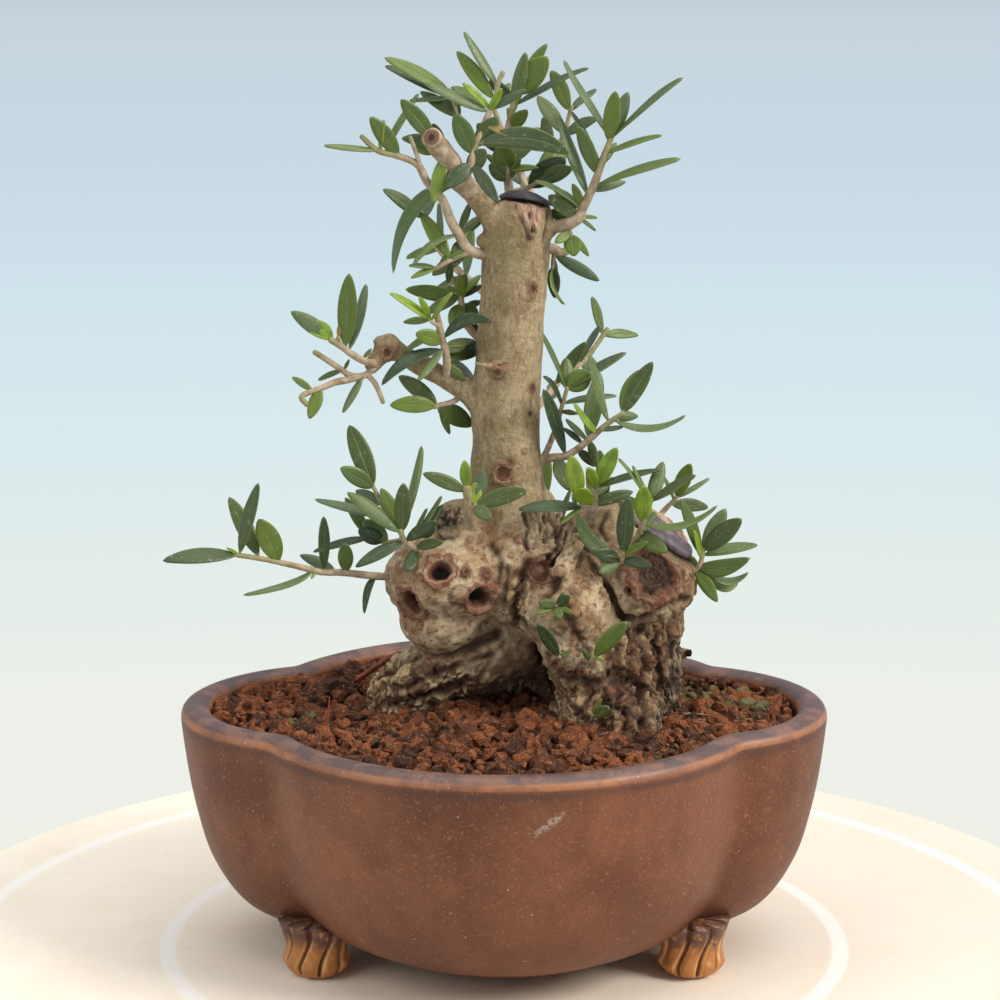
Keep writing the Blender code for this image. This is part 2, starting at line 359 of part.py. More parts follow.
# Sprays on the hidden side: twigs as above, with leaves in crossed pairs placed by a rule.
BACK_SPRAYS = {
    "spray_back_crown": [
        (1.3, 0.6, [(4, 176, 5), (6, 182, 14), (4, 191, 20), (0, 200, 22), (-3, 208, 23)]),
        (0.9, 0.5, [(5, 186, 17), (10, 193, 22), (14, 200, 24), (16, 207, 24)])],
    "spray_back_left": [
        (1.2, 0.6, [(-1, 160, 5), (-5, 163, 14), (-11, 168, 21), (-17, 175, 26), (-20, 182, 28)])],
    "spray_back_right": [
        (1.2, 0.6, [(5, 132, 5), (9, 136, 14), (14, 142, 22), (20, 147, 28), (25, 154, 31)])],
    "spray_back_low": [
        (1.2, 0.6, [(12, 94, 18), (14, 99, 28), (12, 105, 34), (8, 112, 38), (6, 118, 40)]),
        (1.0, 0.5, [(13.5, 100, 30), (20, 106, 36), (26, 112, 39)])],
}
PAIRS_PER_TWIG = 3
PAIR_LENGTH = (9.5, 14.5)
SEED = 7


def mm(x, y, z):
    return Vector((x, y, z)) * 0.001


# A point seen at x, z on the plane through the trunk, moved along its line of sight to a depth.
def deep(x, z, depth):
    seen = mm(x, 0, z)
    return EYE + (seen - EYE) * ((depth * 0.001 - EYE.y) / -EYE.y)


def material(name, colour, roughness):
    made = bpy.data.materials.new(name)
    made.use_nodes = True
    shader = made.node_tree.nodes["Principled BSDF"]
    shader.inputs["Base Color"].default_value = (*colour, 1)
    shader.inputs["Roughness"].default_value = roughness
    shader.inputs["Metallic"].default_value = 0
    return made


def add_mesh(name, bm, paint=None):
    bmesh.ops.recalc_face_normals(bm, faces=bm.faces)
    if bm.calc_volume(signed=True) < 0:
        bmesh.ops.reverse_faces(bm, faces=bm.faces)
    mesh = bpy.data.meshes.new(name)
    bm.to_mesh(mesh)
    bm.free()
    if paint:
        mesh.materials.append(paint)
    made = bpy.data.objects.new(name, mesh)
    part.objects.link(made)
    return made


def drop(objects):
    for old in list(objects):
        bpy.data.objects.remove(old, do_unlink=True)


# Puts an object's evaluated mesh in place of its own and clears its modifiers.
def bake(target):
    depsgraph = bpy.context.evaluated_depsgraph_get()
    mesh = bpy.data.meshes.new_from_object(target.evaluated_get(depsgraph))
    target.modifiers.clear()
    target.data = mesh
    return target


def boolean(target, others, operation, solver="EXACT"):
    tools = bpy.data.collections.new("tools")
    bpy.context.scene.collection.children.link(tools)
    for other in others:
        part.objects.unlink(other)
        tools.objects.link(other)
    cut = target.modifiers.new("boolean", "BOOLEAN")
    cut.operation = operation
    cut.operand_type = "COLLECTION"
    cut.collection = tools
    cut.solver = solver
    bake(target)
    drop(tools.objects)
    bpy.data.collections.remove(tools)
    return target


def cut_to_triangles(target):
    bm = bmesh.new()
    bm.from_mesh(target.data)
    bmesh.ops.triangulate(bm, faces=bm.faces)
    bm.to_mesh(target.data)
    bm.free()


def tree_of(bm_or_object):
    if isinstance(bm_or_object, bmesh.types.BMesh):
        return BVHTree.FromBMesh(bm_or_object)
    return BVHTree.FromObject(bm_or_object, bpy.context.evaluated_depsgraph_get())


# A tube along points with a radius at each, its end caps welded on.
def tube(name, points, radii, sides):
    curve = bpy.data.curves.new(name, "CURVE")
    curve.dimensions = "3D"
    curve.bevel_depth = 1
    curve.bevel_resolution = sides // 2 - 2
    curve.use_fill_caps = True
    line = curve.splines.new("POLY")
    line.points.add(len(points) - 1)
    for knot, point, radius in zip(line.points, points, radii):
        knot.co = (*point, 1)
        knot.radius = radius
    guide = bpy.data.objects.new(name, curve)
    part.objects.link(guide)
    mesh = bpy.data.meshes.new_from_object(guide.evaluated_get(bpy.context.evaluated_depsgraph_get()))
    drop([guide])
    bm = bmesh.new()
    bm.from_mesh(mesh)
    bmesh.ops.remove_doubles(bm, verts=bm.verts, dist=1e-6)
    return add_mesh(name, bm)


def lobe_radii(inset):
    return SIDE_LOBE[1] - inset, FRONT_LOBE[1] - inset


# Distance from the pot's centre to its outline in a direction, with the outline drawn in by inset.
def plan_radius(angle, inset):
    reach = []
    turns = (angle, angle - math.pi / 2)
    for turned, (centre, rim), radius in zip(turns, (SIDE_LOBE, FRONT_LOBE), lobe_radii(inset)):
        along = abs(math.cos(turned)) * centre
        across = math.sin(turned) * centre
        reach.append(along + math.sqrt(max(radius ** 2 - across ** 2, 0)))
    high, low = max(reach), min(reach)
    overlap = max(LOBE_BLEND - (high - low), 0) / LOBE_BLEND
    return high + overlap ** 2 * LOBE_BLEND / 4


# Direction of the crease where the circles of a side lobe and the front lobe cross.
def crease_angle(inset):
    side, front = lobe_radii(inset)
    low, high = 0, math.pi / 2
    for step in range(40):
        angle = (low + high) / 2
        along_side = math.cos(angle) * SIDE_LOBE[0]
        side_reach = along_side + math.sqrt(max(side ** 2 - (math.sin(angle) * SIDE_LOBE[0]) ** 2, 0))
        along_front = math.sin(angle) * FRONT_LOBE[0]
        front_reach = along_front + math.sqrt(front ** 2 - (math.cos(angle) * FRONT_LOBE[0]) ** 2)
        if side_reach > front_reach:
            low = angle
        else:
            high = angle
    return low


# Directions round the pot, with one on each of the four creases between the lobes.
def plan_angles(inset):
    crease = crease_angle(inset)
    angles = [crease * (2 * i / SIDE_STEPS - 1) for i in range(SIDE_STEPS)]
    angles += [crease + (math.pi - 2 * crease) * i / FRONT_STEPS for i in range(FRONT_STEPS)]
    return angles + [angle + math.pi for angle in angles]


def plan_ring(bm, height, inset):
    ring = []
    for angle in plan_angles(inset):
        reach = plan_radius(angle, inset)
        ring.append(bm.verts.new((reach * math.cos(angle), reach * math.sin(angle), height)))
    return ring


# A closed body through rings of the pot's outline, given as height and inset.
def lofted(rings):
    bm = bmesh.new()
    loops = [plan_ring(bm, height, inset) for height, inset in rings]
    for lower, upper in zip(loops, loops[1:]):
        for i in range(len(lower)):
            j = (i + 1) % len(lower)
            bm.faces.new((lower[i], lower[j], upper[j], upper[i]))
    bm.faces.new(reversed(loops[0]))
    bm.faces.new(loops[-1])
    return bm


def in_metres(profile, gap=0.0):
    return [(z * 0.001 + gap, inset * 0.001 + gap) for z, inset in profile]


# One paw: a fluted stub, narrow on the ground and wide where it meets the body.
def foot(side_x, side_y):
    bm = bmesh.new()
    bmesh.ops.create_cone(bm, cap_ends=True, segments=2 * FOOT_FLUTES, radius1=1, radius2=1, depth=1)
    uprights = [edge for edge in bm.edges if abs(edge.verts[0].co.z - edge.verts[1].co.z) > 0.5]
    bmesh.ops.subdivide_edges(bm, edges=uprights, cuts=len(FOOT_REACH) - 2)
    outward = math.atan2(side_y * FOOT_AT[1], side_x * FOOT_AT[0])
    for vert in bm.verts:
        rise = vert.co.z + 0.5
        angle = math.atan2(vert.co.y, vert.co.x)
        reach = FOOT_REACH[round(rise * (len(FOOT_REACH) - 1))] * (1 + 0.06 * math.cos(FOOT_FLUTES * angle))
        vert.co = (reach * math.cos(angle), 1.15 * reach * math.sin(angle), rise * FOOT_TOP)
    bm.transform(Matrix.Translation((side_x * FOOT_AT[0], side_y * FOOT_AT[1], 0)) @ Matrix.Rotation(outward, 4, "Z"))
    return add_mesh("foot", bm)


def drain_cutter(side):
    bm = bmesh.new()
    place = Matrix.Translation((side * DRAIN_AT, 0, 0.010))
    bmesh.ops.create_cone(bm, cap_ends=True, segments=12, radius1=DRAIN_HOLE / 2, radius2=DRAIN_HOLE / 2,
                          depth=0.012, matrix=place)
    return add_mesh("drain", bm)


def make_pot():
    pot = add_mesh("pot", lofted(in_metres(POT_PROFILE)), material("brown stoneware", (0.20, 0.085, 0.055), 0.45))
    boolean(pot, [foot(x, y) for x in (-1, 1) for y in (-1, 1)], "UNION")
    hollow = add_mesh("hollow", lofted(in_metres(POT_INSIDE)))
    return boolean(pot, [hollow, drain_cutter(-1), drain_cutter(1)], "DIFFERENCE")


# The surface of the soil is lumpy, as a bed of 3 to 6 mm granules is.
def soil_height(x, y):
    inward = 1 - math.hypot(x, y) / plan_radius(math.atan2(y, x), 0)
    mound = min(max((inward - 0.08) * 2.2, 0), 1)
    lumps = noise.cell(Vector((x * 240, y * 240, 3.0))) * 0.0016
    swell = noise.noise(Vector((x * 60, y * 60, 0.5))) * 0.0012
    return SOIL_AT_WALL + (SOIL_AT_TREE - SOIL_AT_WALL) * mound + lumps + swell


def make_soil(holes):
    rings = in_metres(POT_INSIDE[:-1], GAP) + [(0.064, 0.0088)]
    bed = add_mesh("soil", lofted(rings), material("clay granules", (0.17, 0.05, 0.025), 0.95))
    bm = bmesh.new()
    columns = round(0.164 / SOIL_GRID)
    rows = round(0.148 / SOIL_GRID)
    bmesh.ops.create_grid(bm, x_segments=columns, y_segments=rows, size=1)
    draw = random.Random(SEED)
    for vert in bm.verts:
        x = vert.co.x * 0.082 + draw.uniform(-0.3, 0.3) * SOIL_GRID
        y = vert.co.y * 0.074 + draw.uniform(-0.3, 0.3) * SOIL_GRID
        vert.co = (x, y, soil_height(x, y) + draw.uniform(-0.0012, 0.0012))
    sides = bmesh.ops.extrude_face_region(bm, geom=bm.faces[:])["geom"]
    for vert in sides:
        if isinstance(vert, bmesh.types.BMVert):
            vert.co.z = 0.080
    lid = add_mesh("lid", bm)
    boolean(bed, [lid], "DIFFERENCE", "MANIFOLD")
    return boolean(bed, holes, "DIFFERENCE", "MANIFOLD")


# The facet's normal, its slope's direction and the level direction across it.
def facet_frame():
    normal = Vector(FACET_NORMAL).normalized()
    along = Vector((0, 0, -1)).cross(normal).cross(normal).normalized()
    return normal, along, normal.cross(along)


def facet_height(point):
    return (point - mm(*FACET_POINT)).dot(facet_frame()[0])


def cap_height(x, y):
    dx = x - CAP_CENTRE[0] * 0.001
    dy = y - CAP_CENTRE[1] * 0.001
    return CAP_CENTRE[2] * 0.001 - (dx ** 2 + 0.6 * dy ** 2) * CAP_DROOP * 1000 - 0.14 * dx


# Where the line of sight through x, z meets the bark: the point and the normal there.
def on_bark(bark, x, z):
    seen = mm(x, 0, z)
    point, normal, index, distance = bark.ray_cast(EYE, (seen - EYE).normalized())
    return point, normal


def ring_relief(point, centre, normal, outer, hole, depth):
    offset = point - centre
    height = offset.dot(normal)
    radius = (offset - height * normal).length
    if abs(height) > 1.2 * outer or radius > 2 * outer:
        return 0
    lip = math.exp(-((radius - outer) / (0.30 * outer)) ** 2) * 0.28 * outer
    pit = 1 / (1 + math.exp((radius - hole) / (0.12 * outer)))
    return lip - pit * depth


def fold_relief(point, line):
    nearest = min((closest_on(a, b, point) - point).length for a, b in zip(line, line[1:]))
    return -FOLD_DEPTH * math.exp(-(nearest / FOLD_WIDTH) ** 2)


def closest_on(a, b, point):
    run = b - a
    share = min(max((point - a).dot(run) / run.length_squared, 0), 1)
    return a + share * run


# The trunk's lumps and limbs merged into one skin.
def raw_trunk(name, grow, voxel):
    bm = bmesh.new()
    for x, y, z, rx, ry, rz in LUMPS:
        size = Matrix.Diagonal(mm(rx, ry, rz) + Vector((grow, grow, grow))).to_4x4()
        bmesh.ops.create_icosphere(bm, subdivisions=3, radius=1, matrix=Matrix.Translation(mm(x, y, z)) @ size)
    body = add_mesh(name, bm)
    limbs = []
    for limb, line in LIMBS.items():
        points = [mm(x, y, z) for x, y, z, radius in line]
        limbs.append(tube(limb, points, [radius * 0.001 + grow for x, y, z, radius in line], 16))
    bm = bmesh.new()
    for piece in [body] + limbs:
        bm.from_mesh(piece.data)
    drop([body] + limbs)
    skin = add_mesh(name, bm)
    merge = skin.modifiers.new("merge", "REMESH")
    merge.mode = "VOXEL"
    merge.voxel_size = voxel
    soften = skin.modifiers.new("soften", "SMOOTH")
    soften.iterations = 5
    return bake(skin)


def make_trunk():
    trunk = raw_trunk("trunk", 0, BARK_VOXEL)
    bark = tree_of(trunk)
    knots = [(*on_bark(bark, x, z), outer * 0.001, hole * 0.001, depth * 0.001) for x, z, outer, hole, depth in KNOTS]
    knobs = [(on_bark(bark, x, z)[0], radius * 0.001, height * 0.001) for x, z, radius, height in KNOBS]
    folds = [[on_bark(bark, x, z)[0] for x, z in line] for line in FOLDS]
    bm = bmesh.new()
    bm.from_mesh(trunk.data)
    moves = []
    for vert in bm.verts:
        push = noise.noise(vert.co * 130) * 0.0005
        push += sum(ring_relief(vert.co, *knot) for knot in knots)
        push += sum(height * math.exp(-((vert.co - centre).length / radius) ** 2) for centre, radius, height in knobs)
        push += sum(fold_relief(vert.co, line) for line in folds)
        moves.append(vert.normal * push)
    for vert, move in zip(bm.verts, moves):
        vert.co += move
        vert.co.z = max(vert.co.z, ROOT_BOTTOM)
        if vert.co.z > 0.180 and abs(vert.co.x - CAP_CENTRE[0] * 0.001) < 0.008:
            vert.co.z = min(vert.co.z, cap_height(vert.co.x, vert.co.y) - GAP)
        beyond = facet_height(vert.co) + GAP
        if beyond > 0 and vert.co.x > 0.024 and vert.co.z > 0.090:
            vert.co -= facet_frame()[0] * beyond
    bm.to_mesh(trunk.data)
    bm.free()
    thin = trunk.modifiers.new("thin", "DECIMATE")
    thin.ratio = TRUNK_FACES / (2 * len(trunk.data.polygons))
    bake(trunk)
    trunk.data.materials.append(material("olive bark", (0.42, 0.33, 0.23), 0.85))
    return trunk


# The hole in the soil: the foot of the finished trunk, grown by a small gap.
def root_cutter(trunk):
    bm = bmesh.new()
    bm.from_mesh(trunk.data)
    bm.normal_update()
    for vert in bm.verts:
        vert.co += vert.normal * ROOT_GAP
    cutter = add_mesh("root_cutter", bm)
    merge = cutter.modifiers.new("merge", "REMESH")
    merge.mode = "VOXEL"
    merge.voxel_size = 0.0014
    bake(cutter)
    bm = bmesh.new()
    bm.from_mesh(cutter.data)
    for height, side in ((ROOT_BOTTOM - ROOT_GAP / 2, -1), (0.0640, 1)):
        cut = bmesh.ops.bisect_plane(bm, geom=bm.verts[:] + bm.edges[:] + bm.faces[:], plane_co=(0, 0, height),
                                     plane_no=(0, 0, side), clear_outer=True)
        rim = [edge for edge in cut["geom_cut"] if isinstance(edge, bmesh.types.BMEdge)]
        bmesh.ops.triangle_fill(bm, edges=rim, use_beauty=True)
    bm.to_mesh(cutter.data)
    bm.free()
    thin = cutter.modifiers.new("thin", "DECIMATE")
    thin.ratio = 0.06
    return bake(cutter)


def make_cap_paste():
    bm = bmesh.new()
    bmesh.ops.create_cone(bm, cap_ends=True, cap_tris=False, segments=20, radius1=1, radius2=1, depth=1)
    top = [face for face in bm.faces if abs(face.normal.z) > 0.9]
    bmesh.ops.inset_region(bm, faces=top, thickness=0.35)
    for vert in bm.verts:
        x = CAP_CENTRE[0] * 0.001 + vert.co.x * CAP_SIZE[0] * 0.001
        y = CAP_CENTRE[1] * 0.001 + vert.co.y * CAP_SIZE[1] * 0.001
        wave = 1 + 0.10 * noise.noise(Vector((x, y, 0)) * 500)
        x = CAP_CENTRE[0] * 0.001 + (x - CAP_CENTRE[0] * 0.001) * wave
        vert.co = (x, y, cap_height(x, y) + (vert.co.z + 0.5) * PASTE_THICKNESS)
    return add_mesh("wound_paste_top", bm, material("black wound paste", (0.03, 0.025, 0.028), 0.5))


def make_facet_paste():
    normal, along, across = facet_frame()
    bm = bmesh.new()
    bmesh.ops.create_cone(bm, cap_ends=True, segments=22, radius1=1, radius2=0.9, depth=1)
    for vert in bm.verts:
        angle = math.atan2(vert.co.y, vert.co.x)
        wave = 1 + 0.16 * noise.noise(Vector((math.cos(angle), math.sin(angle), 2.0)) * 1.6)
        lift = (vert.co.z + 0.5) * PASTE_THICKNESS
        vert.co = (mm(*FACET_POINT) + across * vert.co.x * wave * FACET_SIZE[0] * 0.001
                   + along * vert.co.y * wave * FACET_SIZE[1] * 0.001 + normal * lift)
    return add_mesh("wound_paste_side", bm, material("grey wound paste", (0.10, 0.08, 0.09), 0.6))


def make_wire(name, radius, extra=0.0):
    points = smooth_path([mm(*point) for point in WIRE], 2)
    points[0].z -= extra
    points[-1].z -= extra
    return tube(name, points, [radius] * len(points), 6)


# The pocket in the soil's underside for a square of drain mesh.
def mesh_pocket(side):
    bm = bmesh.new()
    place = Matrix.Translation((side * DRAIN_AT, 0, FLOOR_TOP))
    bmesh.ops.create_cube(bm, size=1, matrix=place @ Matrix.Diagonal((MESH_SIDE + 0.001, MESH_SIDE + 0.001, 0.003, 1)))
    return add_mesh("pocket", bm)


# A square of plastic drain mesh over a drain hole.
def make_drain_mesh(name, side, paint):
    bm = bmesh.new()
    place = Matrix.Translation((side * DRAIN_AT, 0, FLOOR_TOP + GAP + 0.0004))
    bmesh.ops.create_cube(bm, size=1, matrix=place @ Matrix.Diagonal((MESH_SIDE, MESH_SIDE, 0.0008, 1)))
    sheet = add_mesh(name, bm, paint)
    pitch = MESH_SIDE / MESH_BARS
    holes = []
    for i in range(MESH_BARS - 1):
        for j in range(MESH_BARS - 1):
            bm = bmesh.new()
            shift = Vector(((i - MESH_BARS / 2 + 1) * pitch, (j - MESH_BARS / 2 + 1) * pitch, 0))
            size = Matrix.Diagonal((pitch * 0.62, pitch * 0.62, 0.004, 1))
            bmesh.ops.create_cube(bm, size=1, matrix=Matrix.Translation(shift) @ place @ size)
            holes.append(add_mesh("hole", bm))
    return boolean(sheet, holes, "DIFFERENCE")


# Points of a smooth line through the given ones, with a few steps between each two.
def smooth_path(points, steps):
    ends = [2 * points[0] - points[1]] + points + [2 * points[-1] - points[-2]]
    path = []
    for a, b, c, d in zip(ends, ends[1:], ends[2:], ends[3:]):
        for i in range(steps):
            t = i / steps
            path.append(0.5 * (2 * b + (c - a) * t + (2 * a - 5 * b + 4 * c - d) * t ** 2
                               + (3 * b - a - 3 * c + d) * t ** 3))
    path.append(points[-1])
    return path


# Cuts the start of a twig's path off where its end would touch the bark.
def start_clear(path, radius, bark):
    for i, (a, b) in enumerate(zip(path, path[1:])):
        run = (b - a).normalized()
        for step in range(40):
            point = a.lerp(b, step / 40)
            if rim_is_clear(point, run, radius, bark):
                return [point] + path[i + 1:]
    return path


def rim_is_clear(point, run, radius, bark):
    side = run.orthogonal().normalized()
    other = run.cross(side)
    for i in range(8):
        angle = math.pi * i / 4
        edge = point + (side * math.cos(angle) + other * math.sin(angle)) * radius
        near, normal, index, distance = bark.find_nearest(edge)
        if (edge - near).dot(normal) < 0 or distance < TWIG_GAP:
            return False
    return True


def twig_lines(spray, bark):
    depth = 0
    if "face" in spray:
        depth = on_bark(bark, *spray["face"])[0].y * 1000
    lines = []
    for i, (first, last, points) in enumerate(spray["twigs"]):
        path = [deep(x, z, y + depth) for x, z, y in points]
        if i == 0:
            path = start_clear(path, first * 0.001, bark)
        radii = [(first + (last - first) * k / (len(path) - 1)) * 0.001 for k in range(len(path))]
        lines.append((path, radii))
    return lines


def nearest_on_lines(lines, x, z):
    best = None
    for path, radii in lines:
        end = path[-1] + (path[-2] - path[-1]).normalized() * TIP_SETBACK
        for a, b in zip(path, path[1:-1] + [end]):
            for step in range(9):
                point = a.lerp(b, step / 8)
                flat = deep_inverse(point)
                gap = math.hypot(flat[0] - x, flat[1] - z)
                if best is None or gap < best[0]:
                    best = (gap, point)
    return best[1]


def deep_inverse(point):
    seen = EYE + (point - EYE) * (-EYE.y / (point.y - EYE.y))
    return seen.x * 1000, seen.z * 1000


# A leaf blade: a four-sided closed body, widest at its middle and folded along its rib.
def leaf_blade(base, tip, middle, width, roll, underside, grow=0.0):
    bm = bmesh.new()
    rings = 3 if (tip - base).length < SMALL_LEAF else 4
    bmesh.ops.create_uvsphere(bm, u_segments=4, v_segments=rings, radius=1)
    chord = tip - base
    axis = chord.normalized()
    sight = (EYE - base).normalized()
    side = axis.cross(sight).normalized()
    face = side.cross(axis)
    if face.dot(sight) < 0:
        face = -face
    turn = roll if (face * math.cos(roll) + side * math.sin(roll)).z > face.z else -roll
    up = face * math.cos(turn) + side * math.sin(turn)
    across = axis.cross(up)
    fold = -1 if underside else 1
    for vert in bm.verts:
        t = (1 - vert.co.z) / 2
        swell = math.sin(math.pi * min(max(t, 0), 1)) ** 0.8 if 0.01 < t < 0.99 else 0
        line = (1 - t) ** 2 * base + 2 * t * (1 - t) * middle + t ** 2 * tip
        wide = (width / 2 * swell + grow) * (1 if swell else 0)
        thick = (LEAF_THICKNESS / 2 * (0.75 + 0.25 * swell) + grow) * (1 if swell else 0)
        ring = Vector((vert.co.x, vert.co.y))
        if ring.length > 0.01:
            ring.normalize()
        rise = ring.y * thick + abs(ring.x) * width * 0.10 * fold * swell
        vert.co = line + across * ring.x * wide + up * rise
    bmesh.ops.recalc_face_normals(bm, faces=bm.faces)
    return bm


def touches(blade, obstacles):
    shape = tree_of(blade)
    blade.free()
    return any(shape.overlap(other) for other in obstacles)


# Places one leaf, bending its tip nearer or further until it is clear of the other pieces.
def place_leaf(leaf, lines, obstacles):
    base_x, base_z, tip_x, tip_z, seen_width, tone, reach = leaf[:7]
    base = nearest_on_lines(lines, base_x, base_z)
    depth = base.y * 1000
    for bend in (0, -1.5, 1.5, -3, 3, -4.5, 4.5, -6, 6, -8, 8, -10, 10):
        tip = deep(tip_x, tip_z, depth + reach + bend)
        length = (tip - base).length
        width = max(seen_width * 0.001, LEAF_PROPORTION * length)
        roll = math.acos(min(seen_width * 0.001 / width, 1))
        middle = (base + tip) / 2 + Vector((0, 0, 0.05 * length))
        if len(leaf) > 7:
            middle = 2 * deep(leaf[7], leaf[8], depth + (reach + bend) / 2) - (base + tip) / 2
        shape = (base, tip, middle, width, roll, tone == "g")
        if not touches(leaf_blade(*shape, grow=GAP), obstacles):
            return add_mesh("leaf", leaf_blade(*shape))
    return None


# Leaves in crossed pairs along a twig, for the hidden side.
def paired_leaves(path, draw):
    leaves = []
    length = len(path) - 1
    for i in range(PAIRS_PER_TWIG):
        where = (0.42 + 0.52 * i / (PAIRS_PER_TWIG - 1)) * length
        start = min(int(where), length - 1)
        base = path[start].lerp(path[start + 1], where - start)
        run = (path[start + 1] - path[start]).normalized()
        side = run.orthogonal().normalized()
        side = Matrix.Rotation(math.pi / 2 * (i % 2) + draw.uniform(-0.3, 0.3), 3, run) @ side
        for sign in (-1, 1):
            aim = (side * sign + run * draw.uniform(0.5, 1.0)).normalized()
            size = draw.uniform(*PAIR_LENGTH) * 0.001
            leaves.append((base, base + aim * size, base + aim * size / 2 + Vector((0, 0, 0.07 * size)),
                           size * draw.uniform(0.26, 0.33), draw.uniform(0, 1.2), False))
    return leaves


def is_closed(mesh):
    bm = bmesh.new()
    bm.from_mesh(mesh)
    closed = all(len(edge.link_faces) == 2 for edge in bm.edges)
    bm.free()
    return closed


# Removes pairs of triangles that lie back to back on the same three points.
def drop_fins(target):
    bm = bmesh.new()
    bm.from_mesh(target.data)
    bmesh.ops.triangulate(bm, faces=bm.faces)
    corners = {}
    for face in bm.faces:
        corners.setdefault(frozenset(vert.index for vert in face.verts), []).append(face)
    fins = [face for faces in corners.values() if len(faces) > 1 for face in faces]
    bmesh.ops.delete(bm, geom=fins, context="FACES")
    bm.to_mesh(target.data)
    bm.free()


# Takes the slivers out of a joined spray, by the largest share that leaves it closed.
def thin_out(spray):
    drop_fins(spray)
    joined = spray.data
    for share in THIN_SHARES:
        thin = spray.modifiers.new("thin", "DECIMATE")
        thin.ratio = share
        bake(spray)
        if is_closed(spray.data):
            return
        spray.data = joined


def make_spray(name, lines, blades, paint):
    twigs = [tube(name, path, radii, 6 if radii[0] > 0.00095 else 4) for path, radii in lines]
    spray = twigs[0]
    boolean(spray, twigs[1:] + blades, "UNION", "MANIFOLD")
    thin_out(spray)
    spray.name = name
    spray.data.name = name
    spray.data.materials.append(paint)
    return spray


def make_sprays(bark, solids):
    paint = material("olive leaf", (0.07, 0.14, 0.03), 0.45)
    all_lines = {name: twig_lines(spray, bark) for name, spray in SPRAYS.items()}
    all_lines.update({name: twig_lines({"twigs": twigs}, bark) for name, twigs in BACK_SPRAYS.items()})
    draw = random.Random(SEED)
    twig_trees = {}
    for name, lines in all_lines.items():
        tubes = [tube("twig", path, [radius + GAP for radius in radii], 6) for path, radii in lines]
        twig_trees[name] = [tree_of(piece) for piece in tubes]
        drop(tubes)
    done = list(solids)
    for name, lines in all_lines.items():
        others = [tree for key, trees in twig_trees.items() if key != name for tree in trees]
        blades = []
        if name in SPRAYS:
            placed = [place_leaf(leaf, lines, done + others) for leaf in SPRAYS[name]["leaves"]]
            blades = [blade for blade in placed if blade]
        else:
            for path, radii in lines:
                for shape in paired_leaves(path, draw):
                    if not touches(leaf_blade(*shape, grow=GAP), done + others):
                        blades.append(add_mesh("leaf", leaf_blade(*shape)))
        done.append(tree_of(make_spray(name, lines, blades, paint)))


drop(bpy.data.objects)
part = bpy.data.collections.new("wild_olive_bonsai")
bpy.context.scene.collection.children.link(part)
make_pot()
make_trunk()
make_cap_paste()
make_facet_paste()
soil_holes = [root_cutter(bpy.data.objects["trunk"]), make_wire("wire_hole", WIRE_RADIUS + 1.4 * GAP, GAP),
              mesh_pocket(-1), mesh_pocket(1)]
make_soil(soil_holes)
wire = make_wire("anchor_wire", WIRE_RADIUS)
wire.data.materials.append(material("brown wire", (0.22, 0.06, 0.03), 0.5))
plastic = material("drain mesh plastic", (0.05, 0.05, 0.05), 0.6)
make_drain_mesh("drain_mesh_left", -1, plastic)
make_drain_mesh("drain_mesh_right", 1, plastic)
solids = [tree_of(bpy.data.objects[name]) for name in ("pot", "soil", "trunk", "wound_paste_top", "wound_paste_side",
                                                         "anchor_wire")]
make_sprays(tree_of(bpy.data.objects["trunk"]), solids)
for piece in part.objects:
    cut_to_triangles(piece)
    piece.data.shade_smooth()
    piece.data.set_sharp_from_angle(angle=math.radians(40))
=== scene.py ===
import json
import math
import random

import bmesh
import bpy
from mathutils import Matrix, Vector, noise
from mathutils.bvhtree import BVHTree

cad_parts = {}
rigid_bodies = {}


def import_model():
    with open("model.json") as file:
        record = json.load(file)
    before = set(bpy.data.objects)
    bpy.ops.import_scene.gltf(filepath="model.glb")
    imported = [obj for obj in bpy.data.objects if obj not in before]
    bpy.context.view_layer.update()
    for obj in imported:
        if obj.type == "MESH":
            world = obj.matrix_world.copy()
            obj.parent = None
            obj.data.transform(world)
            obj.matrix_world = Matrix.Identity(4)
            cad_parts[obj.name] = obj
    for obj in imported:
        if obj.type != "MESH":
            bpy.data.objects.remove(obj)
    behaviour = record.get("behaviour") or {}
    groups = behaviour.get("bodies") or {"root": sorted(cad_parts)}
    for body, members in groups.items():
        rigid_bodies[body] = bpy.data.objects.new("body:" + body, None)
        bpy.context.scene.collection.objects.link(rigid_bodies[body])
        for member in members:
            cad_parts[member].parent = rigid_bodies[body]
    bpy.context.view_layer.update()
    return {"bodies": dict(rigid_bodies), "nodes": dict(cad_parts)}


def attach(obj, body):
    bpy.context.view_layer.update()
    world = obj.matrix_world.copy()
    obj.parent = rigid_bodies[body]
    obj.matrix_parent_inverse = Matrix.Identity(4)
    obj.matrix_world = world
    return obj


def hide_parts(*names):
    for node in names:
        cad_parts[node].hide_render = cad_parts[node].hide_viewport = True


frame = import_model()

bodyName = list(frame["bodies"])[0]
scene = bpy.context.scene
view = bpy.context.evaluated_depsgraph_get()
solids = {name: BVHTree.FromObject(node, view) for name, node in frame["nodes"].items()}

# the camera stands where the photograph was taken from: its place in metres, how far it looks down in
# degrees, and its lens and sensor in mm
viewpoint = {"place": (-0.0010, -0.6012, 0.2228), "pitch": 10.45, "lens": 90, "sensor": 36}
eye = Vector(viewpoint["place"])


def linked(name, data):
    made = bpy.data.objects.new(name, data)
    scene.collection.objects.link(made)
    return made


def meshOf(bm, name):
    mesh = bpy.data.meshes.new(name)
    bm.to_mesh(mesh)
    bm.free()
    return mesh


